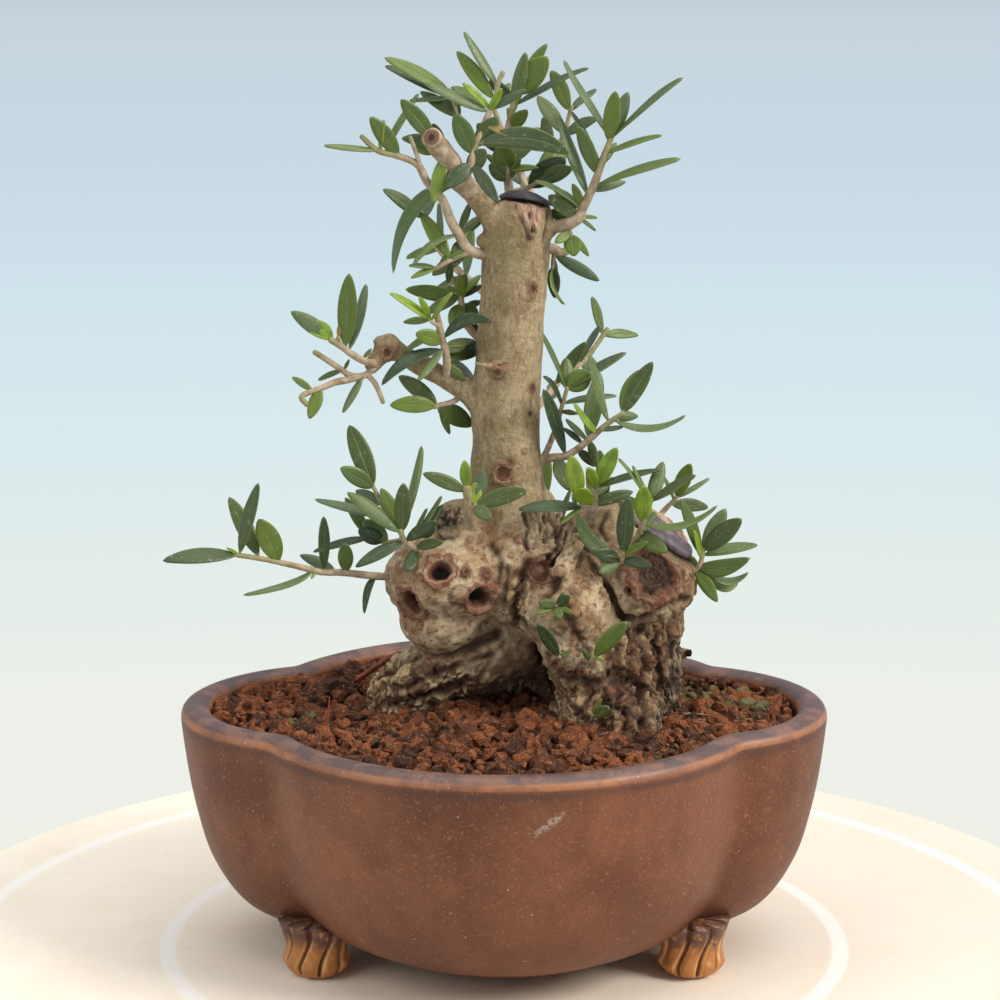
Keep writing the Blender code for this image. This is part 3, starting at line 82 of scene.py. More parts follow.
def makeCamera():
    camera = bpy.data.cameras.new("photoView")
    camera.lens = viewpoint["lens"]
    camera.sensor_width = viewpoint["sensor"]
    holder = linked("photoView", camera)
    holder.location = eye
    holder.rotation_euler = (math.radians(90 - viewpoint["pitch"]), 0, 0)
    scene.camera = holder


def mm(x, y, z):
    return Vector((x, y, z)) * 0.001


def rgb(red, green, blue):
    # a colour as the eye reads it, 0 to 255, turned into linear light
    shares = [value / 255 for value in (red, green, blue)]
    return (*[v / 12.92 if v <= 0.04 else ((v + 0.055) / 1.055) ** 2.4 for v in shares], 1)


def seenAt(x, z, depth=0.0):
    # the point seen at x, z on the plane through the trunk, moved along its line of sight; in mm
    flat = mm(x, 0, z)
    return eye + (flat - eye) * ((depth * 0.001 - eye.y) / -eye.y)


def flatOf(point):
    # the reverse: the x, z in mm at which a point is seen
    flat = eye + (point - eye) * (-eye.y / (point.y - eye.y))
    return flat.x * 1000, flat.z * 1000


def smoothStep(low, high, value):
    share = min(max((value - low) / (high - low), 0), 1)
    return share * share * (3 - 2 * share)


def bell(distance, width):
    return math.exp(-(distance / width) ** 2)


class Value:
    # one socket of a shader tree; each operator adds a Math node
    def __init__(self, paint, socket):
        self.paint = paint
        self.socket = socket

    def __add__(self, other):
        return self.paint.maths("ADD", self, other)

    def __radd__(self, other):
        return self.paint.maths("ADD", other, self)

    def __sub__(self, other):
        return self.paint.maths("SUBTRACT", self, other)

    def __rsub__(self, other):
        return self.paint.maths("SUBTRACT", other, self)

    def __mul__(self, other):
        return self.paint.maths("MULTIPLY", self, other)

    def __rmul__(self, other):
        return self.paint.maths("MULTIPLY", other, self)


class Paint:
    # a material with a Principled shader, built up by short calls
    def __init__(self, name, roughness=0.6, **shaderSockets):
        self.material = bpy.data.materials.new(name)
        self.material.use_nodes = True
        self.tree = self.material.node_tree
        self.shader = self.tree.nodes["Principled BSDF"]
        self.shader.inputs["Roughness"].default_value = roughness
        for socket, value in shaderSockets.items():
            self.shader.inputs[socket.replace("_", " ")].default_value = value
        self.place = self.node("ShaderNodeTexCoord", out="Object")

    def node(self, kind, settings=None, sockets=None, out=0):
        made = self.tree.nodes.new(kind)
        for key, value in (settings or {}).items():
            if key == "stops":
                for stop, (place, colour) in zip(self.rampStops(made, len(value)), value):
                    stop.position = place
                    stop.color = colour
            else:
                setattr(made, key, value)
        for key, value in (sockets or {}).items():
            if isinstance(value, Value):
                self.tree.links.new(value.socket, made.inputs[key])
            else:
                made.inputs[key].default_value = value
        return Value(self, made.outputs[out])

    def rampStops(self, ramp, count):
        while len(ramp.color_ramp.elements) < count:
            ramp.color_ramp.elements.new(1)
        return ramp.color_ramp.elements

    def maths(self, operation, first, second=0.0):
        return self.node("ShaderNodeMath", {"operation": operation}, {0: first, 1: second})

    def ramp(self, value, low, high):
        # 0 below low, 1 above high and a soft step between
        return self.node("ShaderNodeMapRange", {"interpolation_type": "SMOOTHSTEP"},
                         {"Value": value, "From Min": low, "From Max": high})

    def mix(self, factor, low, high):
        return self.node("ShaderNodeMix", {"data_type": "RGBA", "clamp_factor": True},
                         {0: factor, 6: low, 7: high}, out=2)

    def axis(self, index):
        return self.node("ShaderNodeSeparateXYZ", None, {0: self.place}, out=index)

    def length(self, vector):
        return self.node("ShaderNodeVectorMath", {"operation": "LENGTH"}, {0: vector}, out="Value")

    def stretched(self, scale, turn=(0, 0, 0)):
        return self.node("ShaderNodeMapping", None,
                         {"Vector": self.place, "Scale": scale, "Rotation": turn})

    def noise(self, size, detail=3.0, roughness=0.55, where=None, distortion=0.0):
        # size is the width of its patches in mm
        return self.node("ShaderNodeTexNoise", None, {"Vector": where or self.place, "Scale": 1000 / size,
                         "Detail": detail, "Roughness": roughness, "Distortion": distortion})

    def cells(self, size, where=None):
        return self.node("ShaderNodeTexVoronoi", None,
                         {"Vector": where or self.place, "Scale": 1000 / size}, out="Distance")

    def attribute(self, name):
        return self.node("ShaderNodeAttribute", {"attribute_name": name}, out="Fac")

    def feed(self, socket, value):
        self.tree.links.new(value.socket, self.shader.inputs[socket])

    def bump(self, *layers):
        # each layer is a height from 0 to 1 and how deep it is in mm
        normal = None
        for height, depth in layers:
            sockets = {"Height": height, "Distance": depth * 0.001}
            if normal:
                sockets["Normal"] = normal
            normal = self.node("ShaderNodeBump", None, sockets)
        self.feed("Normal", normal)


def gridSkin(bm, columns, rows, place, attributes=None):
    # wraps a grid into a closed form: place(u, v) gives a point for shares u round it and v along it
    floats = bm.verts.layers.float
    layers = {name: floats.get(name) or floats.new(name) for name in attributes or {}}
    made = bmesh.ops.create_grid(bm, x_segments=columns, y_segments=rows, size=1)["verts"]
    for vert in made:
        u = (vert.co.x + 1) / 2
        v = (vert.co.y + 1) / 2
        for name, layer in layers.items():
            vert[layer] = attributes[name](u, v)
        vert.co = place(u, v)
    bmesh.ops.remove_doubles(bm, verts=made, dist=2e-7)


def smoothPath(points, steps):
    # a curve through points, with even steps put between each two
    ends = [2 * points[0] - points[1]] + points + [2 * points[-1] - points[-2]]
    path = []
    for a, b, c, d in zip(ends, ends[1:], ends[2:], ends[3:]):
        for i in range(steps):
            t = i / steps
            path.append(0.5 * (2 * b + (c - a) * t + (2 * a - 5 * b + 4 * c - d) * t ** 2
                               + (3 * b - a - 3 * c + d) * t ** 3))
    path.append(points[-1])
    return path


def spread(values, steps):
    # the same values with even steps put between each two
    wide = []
    for a, b in zip(values, values[1:]):
        wide += [a + (b - a) * i / steps for i in range(steps)]
    return wide + [values[-1]]


def tubeAlong(bm, path, radii, sides, attributes=None, endStretch=0.7):
    # a round form along a path, with a dome on each end
    first = (path[0] - path[1]).normalized() * radii[0] * endStretch
    last = (path[-1] - path[-2]).normalized() * radii[-1] * endStretch
    points = [path[0] + first, path[0] + first * 0.7] + path + [path[-1] + last * 0.7, path[-1] + last]
    sizes = [0, radii[0] * 0.7] + radii + [radii[-1] * 0.7, 0]
    run = (points[1] - points[0]).normalized()
    side = run.orthogonal().normalized()
    frames = []
    for i, point in enumerate(points):
        ahead = points[min(i + 1, len(points) - 1)] - points[max(i - 1, 0)]
        side = (side - ahead * side.dot(ahead) / ahead.length_squared).normalized()
        frames.append((point, side, ahead.normalized().cross(side)))
    count = len(points) - 1

    def place(u, v):
        k = round(v * count)
        point, across, other = frames[k]
        angle = 2 * math.pi * u
        return point + (across * math.cos(angle) + other * math.sin(angle)) * sizes[k]
    gridSkin(bm, sides, count, place, attributes)


def addPiece(name, bm, paints, replaced=()):
    bmesh.ops.recalc_face_normals(bm, faces=bm.faces)
    mesh = meshOf(bm, name)
    mesh.shade_smooth()
    for paint in paints:
        mesh.materials.append(paint.material)
    piece = linked(name, mesh)
    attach(piece, bodyName)
    if replaced:
        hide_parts(*replaced)
    return piece


def bakeMesh(piece):
    graph = bpy.context.evaluated_depsgraph_get()
    mesh = bpy.data.meshes.new_from_object(piece.evaluated_get(graph))
    piece.modifiers.clear()
    piece.data = mesh


def closeEnds(bm):
    bmesh.ops.holes_fill(bm, edges=bm.edges, sides=0)
    bmesh.ops.triangulate(bm, faces=[face for face in bm.faces if len(face.verts) > 4])


def report(stage, *pieces):
    count = sum(len(face.vertices) - 2 for piece in pieces for face in piece.data.polygons)
    print(f"{stage} done, {count} triangles" if pieces else f"{stage} done")


# the pot: a lobe is (how far its arc's centre lies from the pot's centre, radius) in metres, and the
# profiles are (height, inset) in mm
potShape = {
    "sideLobe": (0.0418, 0.0382), "frontLobe": (0.0068, 0.0627), "blend": 0.0015,
    "sideSteps": 48, "frontSteps": 60, "ringStep": 0.8,
    "outside": [(5.5, 30), (5.5, 27), (7, 23.8), (9.5, 18.5), (12.5, 14.2), (17.3, 10.3), (25, 6.3),
                (34, 3.7), (44, 1.7), (55.6, 0.3), (59.2, 0.1), (60.8, 0.9), (61.6, 2.5), (61.7, 4.2),
                (61.1, 6.0), (59.2, 7.2)],
    "inside": [(50, 7.1), (32, 10), (20, 14), (12.5, 20), (12.5, 24)],
    "wave": 0.00018, "waveFrom": 0.008, "lipBand": (0.0584, 0.0607),
    "drainAt": 0.026, "drainRadius": 0.006, "drainCut": (0.009, 0.014),    # the cut's middle and depth
    # a pale scrape and an orange spot on the wall: place, reach and turn, and colour
    "marks": [((9.9, -68.2, 51.0), (6.2, 6, 1.4), -38, rgb(190, 176, 164)),
              ((57.5, -34.0, 42.0), (1.3, 3, 0.9), 0, rgb(206, 128, 66))],
}


def lobeRadii(inset):
    return potShape["sideLobe"][1] - inset, potShape["frontLobe"][1] - inset


def planRadius(angle, inset):
    # how far the pot's outline, moved in by an inset, lies from its centre
    reach = []
    lobes = zip((angle, angle - math.pi / 2), ("sideLobe", "frontLobe"), lobeRadii(inset))
    for turned, lobe, radius in lobes:
        centre = potShape[lobe][0]
        across = math.sin(turned) * centre
        reach.append(abs(math.cos(turned)) * centre + math.sqrt(max(radius ** 2 - across ** 2, 0)))
    overlap = max(potShape["blend"] - (max(reach) - min(reach)), 0) / potShape["blend"]
    return max(reach) + overlap ** 2 * potShape["blend"] / 4


def creaseAngle(inset):
    # where a side lobe's arc meets the front lobe's
    side, front = lobeRadii(inset)
    sideFar, frontFar = potShape["sideLobe"][0], potShape["frontLobe"][0]
    low, high = 0, math.pi / 2
    for halving in range(30):
        angle = (low + high) / 2
        across, ahead = math.sin(angle), math.cos(angle)
        sideReach = ahead * sideFar + math.sqrt(max(side ** 2 - (across * sideFar) ** 2, 0))
        frontReach = across * frontFar + math.sqrt(front ** 2 - (ahead * frontFar) ** 2)
        low, high = (angle, high) if sideReach > frontReach else (low, angle)
    return low


def planAngle(u, inset):
    # u runs once round the pot, with even steps within each lobe
    crease = creaseAngle(inset)
    sideShare = potShape["sideSteps"] / (2 * (potShape["sideSteps"] + potShape["frontSteps"]))
    half, rest = divmod(u * 2, 1)
    if rest < 2 * sideShare:
        return half * math.pi + crease * (rest / sideShare - 1)
    return half * math.pi + crease + (math.pi - 2 * crease) * (rest - 2 * sideShare) / (1 - 2 * sideShare)


def evenly(profile, step):
    # points spaced evenly along a smooth line through a profile
    line = smoothPath([Vector((inset, height, 0)) for height, inset in profile], 24)
    even = [line[0]]
    for point in line[1:-1]:
        if (point - even[-1]).length >= step:
            even.append(point)
    return [(point.y, point.x) for point in even + [line[-1]]]


def potPaint():
    paint = Paint("brown stoneware", 0.42, Specular_IOR_Level=0.28, Coat_Roughness=0.42)
    lip = paint.attribute("lip")
    height = paint.axis(2)
    cloudy = paint.noise(26, 4, 0.6)
    streak = paint.noise(5, 4, 0.6, paint.stretched((1, 1, 0.35)))
    fine = paint.noise(0.9, 3, 0.6)
    body = paint.mix(paint.ramp(cloudy, 0.32, 0.68), rgb(100, 58, 38), rgb(128, 80, 54))
    body = paint.mix(paint.ramp(streak, 0.48, 0.72) * 0.4, body, rgb(98, 58, 40))
    body = paint.mix(paint.ramp(paint.noise(3.4, 2, 0.5), 0.6, 0.75) * 0.3, body, rgb(150, 98, 66))
    body = paint.mix(paint.ramp(paint.noise(0.5, 2, 0.6), 0.54, 0.64) * 0.45, body, rgb(84, 50, 36))
    body = paint.mix(paint.ramp(paint.noise(0.7, 2, 0.6), 0.58, 0.68) * 0.35, body, rgb(178, 124, 90))
    # painted shade: the lower body darker towards the bottom, where shade falls under the belly
    body = paint.mix(paint.ramp(height, 0.042, 0.014) * 0.36, body, rgb(88, 52, 36))
    body = paint.mix(paint.ramp(height, 0.011, 0.006) * 0.45, body, rgb(168, 112, 72))
    lipTone = paint.mix(paint.ramp(paint.noise(7, 4, 0.65), 0.42, 0.6), rgb(92, 70, 68), rgb(126, 90, 76))
    lipTone = paint.mix(paint.ramp(paint.noise(2.4, 4, 0.7), 0.54, 0.66) * 0.75, lipTone, rgb(78, 66, 72))
    body = paint.mix(lip, body, lipTone)
    worn = paint.ramp(paint.noise(9, 4, 0.7), 0.4, 0.62)
    edge = paint.ramp(height, 0.0586, 0.0594) * paint.ramp(height, 0.0609, 0.0601)
    body = paint.mix(edge * (0.35 + 0.5 * worn), body, rgb(176, 116, 78))
    under = paint.ramp(height, 0.0560, 0.0576) * paint.ramp(height, 0.0588, 0.0580)
    body = paint.mix(under * (0.75 - 0.35 * worn), body, rgb(84, 56, 50))
    for size, shown, strength in ((2.3, 0.5, 0.75), (1.1, 0.58, 0.5)):
        patches = paint.ramp(paint.noise(size * 0.8, 1), shown, shown + 0.1)
        body = paint.mix(paint.ramp(paint.cells(size), 0.11, 0.06) * patches * strength, body,
                         rgb(206, 178, 150))
    pits = paint.ramp(paint.cells(1.7, paint.stretched((1.1, 1, 1.3))), 0.13, 0.06)
    pits = pits * paint.ramp(paint.noise(2.2, 1), 0.52, 0.62)
    body = paint.mix(pits * 0.7, body, rgb(48, 28, 22))
    for spot, reach, turn, tone in potShape["marks"]:
        shape = paint.node("ShaderNodeMapping", {"vector_type": "TEXTURE"},
                           {"Vector": paint.place, "Location": mm(*spot), "Scale": mm(*reach),
                            "Rotation": (0, math.radians(turn), 0)})
        broken = paint.ramp(paint.noise(1.1, 3, 0.7), 0.4, 0.6)
        body = paint.mix(paint.ramp(paint.length(shape), 1.0, 0.3) * broken * 0.55, body, tone)
    paint.feed("Base Color", body)
    paint.feed("Roughness", 0.38 + 0.2 * fine + 0.08 * lip)
    paint.feed("Coat Weight", lip * 0.55)
    paint.bump((paint.noise(6, 3), 0.25), (fine, 0.12), (paint.noise(0.4, 2), 0.05), (1 - pits, 0.14))
    return paint


def makePot():
    bm = bmesh.new()
    profile = evenly(potShape["outside"] + potShape["inside"], potShape["ringStep"])
    rings = [(height * 0.001, inset * 0.001) for height, inset in profile]
    count = len(rings) - 1

    def place(u, v):
        height, inset = rings[round(v * count)]
        angle = planAngle(u % 1, inset)
        reach = planRadius(angle, inset)
        spot = Vector((reach * math.cos(angle), reach * math.sin(angle), height))
        wave = abs(noise.noise(spot * 45) * potShape["wave"]) if height > potShape["waveFrom"] else 0
        return spot - Vector((math.cos(angle), math.sin(angle), 0)) * wave

    def lipShare(u, v):
        return smoothStep(*potShape["lipBand"], rings[round(v * count)][0])
    around = 2 * (potShape["sideSteps"] + potShape["frontSteps"])
    gridSkin(bm, around, count, place, {"lip": lipShare})
    closeEnds(bm)
    pot = addPiece("potBody", bm, [potPaint()], ["pot"])
    for side in (-1, 1):
        drill(pot, side * potShape["drainAt"])
    report("pot", pot)


def drill(pot, x):
    # cuts a drain hole through the floor
    bm = bmesh.new()
    middle, depth = potShape["drainCut"]
    radius = potShape["drainRadius"]
    bmesh.ops.create_cone(bm, cap_ends=True, segments=40, radius1=radius, radius2=radius, depth=depth,
                          matrix=Matrix.Translation((x, 0, middle)))
    cutter = linked("drill", meshOf(bm, "drill"))
    cut = pot.modifiers.new("drain", "BOOLEAN")
    cut.operation = "DIFFERENCE"
    cut.object = cutter
    bakeMesh(pot)
    bpy.data.objects.remove(cutter)


# the paw feet: a profile of (height, reach) in mm from the ground up, with flutes between the toes, which
# swell at the height of the curl; other lengths in metres
footShape = {
    "at": (0.0455, 0.0240), "top": 0.0135, "pole": 0.0005,
    "reach": [(0, 4.4), (0.4, 5.8), (1.4, 7.0), (3.2, 7.6), (5.4, 7.3), (8, 7.4), (10.5, 8.2), (13.5, 9.2)],
    "long": 1.12, "toes": 9, "groove": 0.2, "columns": 126, "curl": 0.0005, "curlAt": (0.0032, 0.0016),
}


def footPaint():
    paint = Paint("foot stoneware", 0.34)
    groove = paint.attribute("groove")
    height = paint.attribute("rise")
    cloudy = paint.noise(4, 4, 0.6)
    high = paint.ramp(height + (cloudy - 0.5) * 0.5, 0.42, 0.8)
    tone = paint.mix(high, rgb(178, 114, 54), rgb(96, 60, 50))
    tone = paint.mix(paint.ramp(paint.noise(1.8, 3, 0.7), 0.52, 0.7) * 0.6, tone, rgb(206, 146, 78))
    rims = paint.ramp(groove, 0.05, 0.22) * paint.ramp(groove, 0.5, 0.3) * paint.ramp(height, 0.85, 0.6)
    tone = paint.mix(rims * 0.6, tone, rgb(222, 172, 112))
    tone = paint.mix(paint.ramp(groove, 0.4, 0.85) * 0.9, tone, rgb(62, 32, 20))
    tone = paint.mix(paint.ramp(height, 0.07, 0.0) * 0.6, tone, rgb(206, 164, 116))
    paint.feed("Base Color", tone)
    paint.feed("Roughness", 0.3 + 0.2 * cloudy)
    paint.bump((cloudy, 0.2), (paint.noise(0.8, 3), 0.06))
    return paint


def makeFeet():
    bm = bmesh.new()
    profile = evenly(footShape["reach"], 0.35)
    skin = [(height * 0.001, reach * 0.001) for height, reach in profile]
    rings = [(0, footShape["pole"])] + skin + [(footShape["top"], footShape["pole"])]
    count = len(rings) - 1
    atX, atY = footShape["at"]
    curlHeight, curlWidth = footShape["curlAt"]

    def groove(u, v):
        height, reach = rings[round(v * count)]
        bend = 0.9 * math.sin(height * 330 + 0.9)
        toe = abs(math.sin(footShape["toes"] * (math.pi * u) + bend))
        return (1 - toe) ** 2.2 * smoothStep(0.0, 0.0012, height)

    def rise(u, v):
        return rings[round(v * count)][0] / footShape["top"]
    for sideX, sideY in ((-1, -1), (-1, 1), (1, -1), (1, 1)):
        turn = Matrix.Rotation(math.atan2(sideY * atY, sideX * atX), 3, "Z")
        centre = Vector((sideX * atX, sideY * atY, 0))

        def place(u, v):
            height, reach = rings[round(v * count)]
            angle = 2 * math.pi * u
            size = reach * (1 - footShape["groove"] * groove(u, v))
            size += footShape["curl"] * bell(height - curlHeight, curlWidth) * (1 - groove(u, v))
            across = footShape["long"] * size * math.sin(angle)
            return centre + turn @ Vector((size * math.cos(angle), across, 0)) + Vector((0, 0, height))
        gridSkin(bm, footShape["columns"], count, place, {"groove": groove, "rise": rise})
    bmesh.ops.holes_fill(bm, edges=bm.edges, sides=0)
    report("feet", addPiece("pawFeet", bm, [footPaint()], ["pot"]))


# the grown body: ellipsoids as centre and radii, limbs as points and radius, in mm; the voxel that the skin
# is made of and the height at which the roots end, in metres
barkShape = {
    "voxel": 0.00056, "soften": 22, "rootBottom": 0.048,
    "lumps": [(-13, -4, 93.5, 16.3, 16, 11.5), (-15.5, -6, 84, 10.2, 10.5, 8.5), (-10, -1, 102, 11, 11, 10),
        (5, -2, 95, 14, 15, 15), (2.6, 3, 105, 12, 12, 12), (15, -9, 88, 12, 13, 12),
        (15, -14, 79, 6.5, 6.5, 7), (25, 0, 98, 13, 14, 13.4), (34.6, -5, 94, 12.4, 13, 12),
        (34, 5, 100, 11, 12, 9), (36, -3, 82, 7.5, 10, 9), (24, -8, 74, 13, 12, 13),
        (25.5, -10, 60, 14.5, 12, 12), (38, -4, 69, 5.5, 8, 13), (5, 11, 92, 18, 13, 14),
        (25, 10, 90, 14, 12, 13), (-12, 9, 88, 12, 11, 12), (-4, 13, 66, 11, 9, 16), (16, 14, 64, 13, 10, 17),
        (5, 10, 76, 14, 9, 12)],
    "limbs": {
        "trunk": [(2.5, 1, 96, 14), (1.5, 0.5, 107, 11.2), (0.7, 0, 115, 9.2), (0.4, 0, 124, 8.5),
            (0.3, 0, 136, 8.4), (1.3, 0, 148, 8.1), (2.2, 0, 160, 8.0), (2.8, 0, 172, 8.2),
            (3.6, 0, 180, 8.0), (4.6, 0, 185, 6.6)],
        "leftFork": [(3, -1, 172, 6.5), (-0.5, -2, 179.5, 4.6), (-4.5, -3.5, 184, 3.4), (-8.5, -5, 188, 2.8)],
        "rightFork": [(6, 0, 176, 5.0), (9.5, -1, 177.8, 3.0), (12.6, -2, 178.6, 1.9)],
        "leftBranch": [(-3, 0, 135, 5.2), (-8, -2, 138.4, 3.2), (-12.2, -3, 141.2, 2.8),
            (-16.8, -4, 144, 2.7), (-21.5, -5, 146.6, 2.6), (-24.5, -6, 148.6, 2.5), (-27.4, -7, 151, 2.6),
            (-28.2, -7, 153.4, 1.5)],
        "branchKnuckle": [(-26, -6, 149.6, 2.4), (-29.4, -7, 148.6, 2.4), (-31.4, -7, 146.4, 2.2),
            (-32.6, -7, 144.6, 1.7)],
        "branchSpur": [(-28, -7, 150.4, 2.2), (-30.8, -7, 152.6, 1.2)],
        "brownStub": [(-2, -1, 174.5, 2.4), (-6.2, -4, 175.6, 1.7)],
        "tornStub": [(0.5, -6, 143.5, 1.8), (-2.6, -10, 146, 1.2), (-5, -12, 146.6, 0.9),
            (-7.2, -13, 147.4, 0.7)],
        "leftRoot": [(4, 3, 80, 11), (-9, 0, 74, 10.5), (-18, 0, 68, 9), (-25, 1, 63, 8), (-29.5, 2, 57, 6.5),
            (-31, 3, 50, 5.5)],
        "frontRoot": [(24, -12, 66, 9), (31, -18, 58.5, 7.5), (34, -22, 50, 6.5)],
        "cutRoot": [(17.6, -14, 104.2, 1.7), (16, -16.5, 101.5, 2.0), (13.2, -19, 97, 2.4)],
        "rightSpur": [(38, -4, 76, 3), (44.5, -5, 74.2, 1.3), (46.4, -5, 74.4, 1.0)]},
    # x, z as seen, outer radius, hole radius and hole depth in mm, how dark the hole is from 0 to 1, which is
    # dark rotten wood and painted shade within it, and its height to its width
    "knots": [(-15.7, 94.2, 3.2, 2.2, 3.2, 1, 1.2), (-22.9, 85.6, 3.3, 2.4, 3.6, 1, 1.35),
        (-6.0, 86.8, 3.7, 2.8, 3.4, 1, 0.95), (37.1, 93.4, 5.3, 4.5, 1.3, 0.84, 1.1),
        (-0.5, 118.4, 2.2, 1.2, 0.6, 0.1, 1.2), (6.9, 163.6, 1.3, 0.8, 0.5, 0.1, 1.2),
        (8.8, 93.9, 2.7, 2.0, 0.7, 0.2, 1.1), (-28.3, 148.2, 1.6, 0.9, 0.7, 0.2, 1),
        (-1.7, 143.4, 1.9, 0.9, 0.4, 0.1, 1.5), (6.8, 139.5, 0.9, 0.5, 0.3, 0.1, 1.2),
        (6.3, 133.4, 0.7, 0.4, 0.2, 0.2, 1), (30.8, 89.1, 1.1, 0.8, 1.2, 1, 1),
        (1.4, 121.3, 0.9, 0.4, 0.3, 0.2, 1.4), (-9.4, 93.7, 0.9, 0.4, 0.5, 0.7, 1),
        (-4.7, 93.4, 0.9, 0.4, 0.5, 0.7, 1), (13.1, 71.4, 1.1, 0.5, 0.5, 0.6, 1),
        (16.1, 69.6, 1.1, 0.5, 0.5, 0.6, 1), (19.6, 68.9, 1.1, 0.5, 0.5, 0.6, 1),
        (32.2, 69.6, 1.2, 0.5, 0.5, 0.6, 1), (35.4, 70.9, 1.0, 0.4, 0.5, 0.6, 1),
        (33.7, 65.5, 1.1, 0.4, 0.5, 0.6, 1)],
    # x, z as seen, radius and height of small knobs in mm
    "knobs": [(-9.4, 93.7, 1.1, 0.9), (-4.7, 93.4, 1.1, 0.9), (13.1, 71.4, 1.5, 1.2), (16.1, 69.6, 1.5, 1.2),
        (19.6, 68.9, 1.5, 1.2), (32.2, 69.6, 1.6, 1.2), (35.4, 70.9, 1.3, 1.0), (33.7, 65.5, 1.5, 1.0),
        (15.3, 81.3, 1.1, 0.9), (17.2, 83.8, 1.2, 0.9), (18.3, 79.8, 1.1, 0.9), (19.7, 77.8, 1.1, 0.9),
        (16.2, 86.4, 1.0, 0.8), (19.0, 75.2, 1.0, 0.8), (21.8, 72.9, 1.0, 0.8), (13.6, 79.3, 0.9, 0.7),
        (17.5, 89.4, 1.1, 0.7), (19.9, 90.6, 0.8, 0.5), (24.1, 88.9, 0.8, 0.5), (26.0, 93.2, 0.8, 0.5),
        (13.7, 94.2, 1.0, 0.4), (8.8, 93.9, 1.5, 1.5), (11.8, 100.7, 1.3, 1.0), (-8.4, 101.9, 0.7, 0.4),
        (-1.0, 99.9, 0.7, 0.4), (-18.7, 99.9, 0.8, 0.5), (-12.8, 86.9, 0.7, 0.4), (3.9, 101.9, 1.0, 0.8),
        (6.4, 96.9, 1.0, 0.8), (10.1, 96.9, 1.0, 0.7), (26.8, 64.0, 1.2, 0.8), (23.8, 67.1, 1.1, 0.8),
        (30.0, 61.4, 1.2, 0.8), (38.5, 76.7, 1.3, 0.9), (41.5, 79.3, 1.4, 1.0), (37.3, 80.5, 1.2, 0.8),
        (-14.6, 76.7, 0.8, 0.6), (-8.4, 77.8, 0.7, 0.5), (-20.7, 80.5, 0.7, 0.5), (-18.3, 84.3, 0.6, 0.4),
        (-1.7, 86.9, 0.7, 0.5), (4.8, 124, 0.6, 0.4), (-10.8, 88.0, 1.8, 0.7)],
    # x, z as seen along each crease in mm, its depth and width
    "folds": [([(6.2, 184.6), (6.5, 181.5), (7.0, 177.6)], 1.3, 0.45),
              ([(2.2, 184), (4.4, 179.8), (5.8, 175.6)], 0.6, 0.5),
              ([(10.6, 182.4), (10.2, 178.6), (9.4, 175)], 0.5, 0.5),
              ([(4.9, 108.4), (5.9, 105.2), (5.1, 101.9), (5.9, 98.9)], 1.2, 0.5),
              ([(7.8, 108.9), (9, 105.4), (8.1, 101.7), (6.6, 98.4)], 1.3, 0.5),
              ([(6.3, 108.6), (7.3, 105.3), (6.6, 102.4)], 0.7, 0.4),
              ([(9.6, 107.8), (10.4, 104.6), (9.6, 101.2)], 0.8, 0.4),
              ([(13, 107.6), (12.9, 104.6), (11.6, 102.2)], 0.7, 0.4),
              ([(16.6, 105.6), (15.4, 103.2), (14.2, 100.6)], 0.7, 0.4),
              ([(11.2, 108.9), (11.7, 105.9), (13.5, 102.4), (12.7, 99.2), (10.5, 96.9)], 1.2, 0.5),
              ([(14.9, 107.4), (14, 104.2), (12.2, 100.4)], 1.1, 0.5),
              ([(18.8, 104.9), (16.7, 100.7), (14.5, 97.7)], 1.0, 0.5),
              ([(6.4, 96.9), (4.7, 93.2), (3.7, 89.4), (2.5, 85.4), (3.2, 81.1)], 1.5, 0.9),
              ([(1, 94.9), (0.5, 89.4), (0, 84.8)], 0.7, 0.6),
              ([(13, 96.9), (13.8, 92.4), (11.8, 88.9), (9.1, 85.4), (7.6, 81.8)], 1.0, 0.9),
              ([(-23.5, 76.5), (-19.5, 74.2), (-13.9, 73.4), (-7.9, 75.2), (-1.7, 78.8), (5.4, 81.6)],
               1.2, 1.1),
              ([(14.2, 111.4), (16.6, 108.4), (20.6, 106.7)], 0.9, 0.6),
              ([(15.2, 103.4), (18.6, 104.7), (22.8, 102.4)], 0.9, 0.6),
              ([(19.6, 100.4), (23.1, 97.9), (26, 94.2)], 0.8, 0.6),
              ([(24.9, 108.9), (23.5, 104.9), (25.2, 101.7)], 0.7, 0.6),
              ([(14.8, 83.8), (16.6, 81.2), (18.6, 77.4), (20.4, 74.2)], 0.6, 0.8),
              ([(24.6, 91.2), (26.8, 86.9), (29.1, 83.1), (33.5, 82.3), (37.2, 84.3), (42.1, 86.9),
                (44.8, 87.4)], 1.0, 0.8),
              ([(20.6, 96.9), (22.8, 93.9), (25.1, 90.4)], 0.5, 0.8),
              ([(29.1, 81.8), (31.1, 77.8), (34.1, 73.7)], 1.0, 0.9),
              ([(10.9, 72.9), (15.1, 67.1), (21.3, 65.8), (28.7, 67.6), (36.7, 63.5)], 1.1, 0.9),
              ([(33.9, 73.7), (33.2, 64), (34.6, 54.3)], 1.9, 1.1),
              ([(10.1, 74.2), (11.1, 66.6), (13.2, 59.9)], 1.0, 1.0),
              ([(37.3, 74.7), (38.7, 64), (39.8, 55.8)], 0.9, 0.8),
              ([(23.8, 61.4), (30.1, 58.4), (33.8, 55.8)], 0.8, 0.8),
              ([(-20.6, 104.9), (-16.7, 101.9), (-12.8, 102.4)], 0.5, 0.8),
              ([(-3, 100.7), (-0.5, 96.9), (-1.5, 91.9)], 0.4, 0.8),
              ([(-31, 66.8), (-27, 68.8), (-20.8, 72.7)], 0.9, 0.8),
              ([(-31.8, 63), (-23.3, 65.5), (-13.4, 69.6), (-3, 73.2)], 0.9, 0.8),
              ([(-28.3, 60.2), (-18.4, 63), (-8.4, 65.5), (4, 68.6)], 0.9, 0.9)],
}
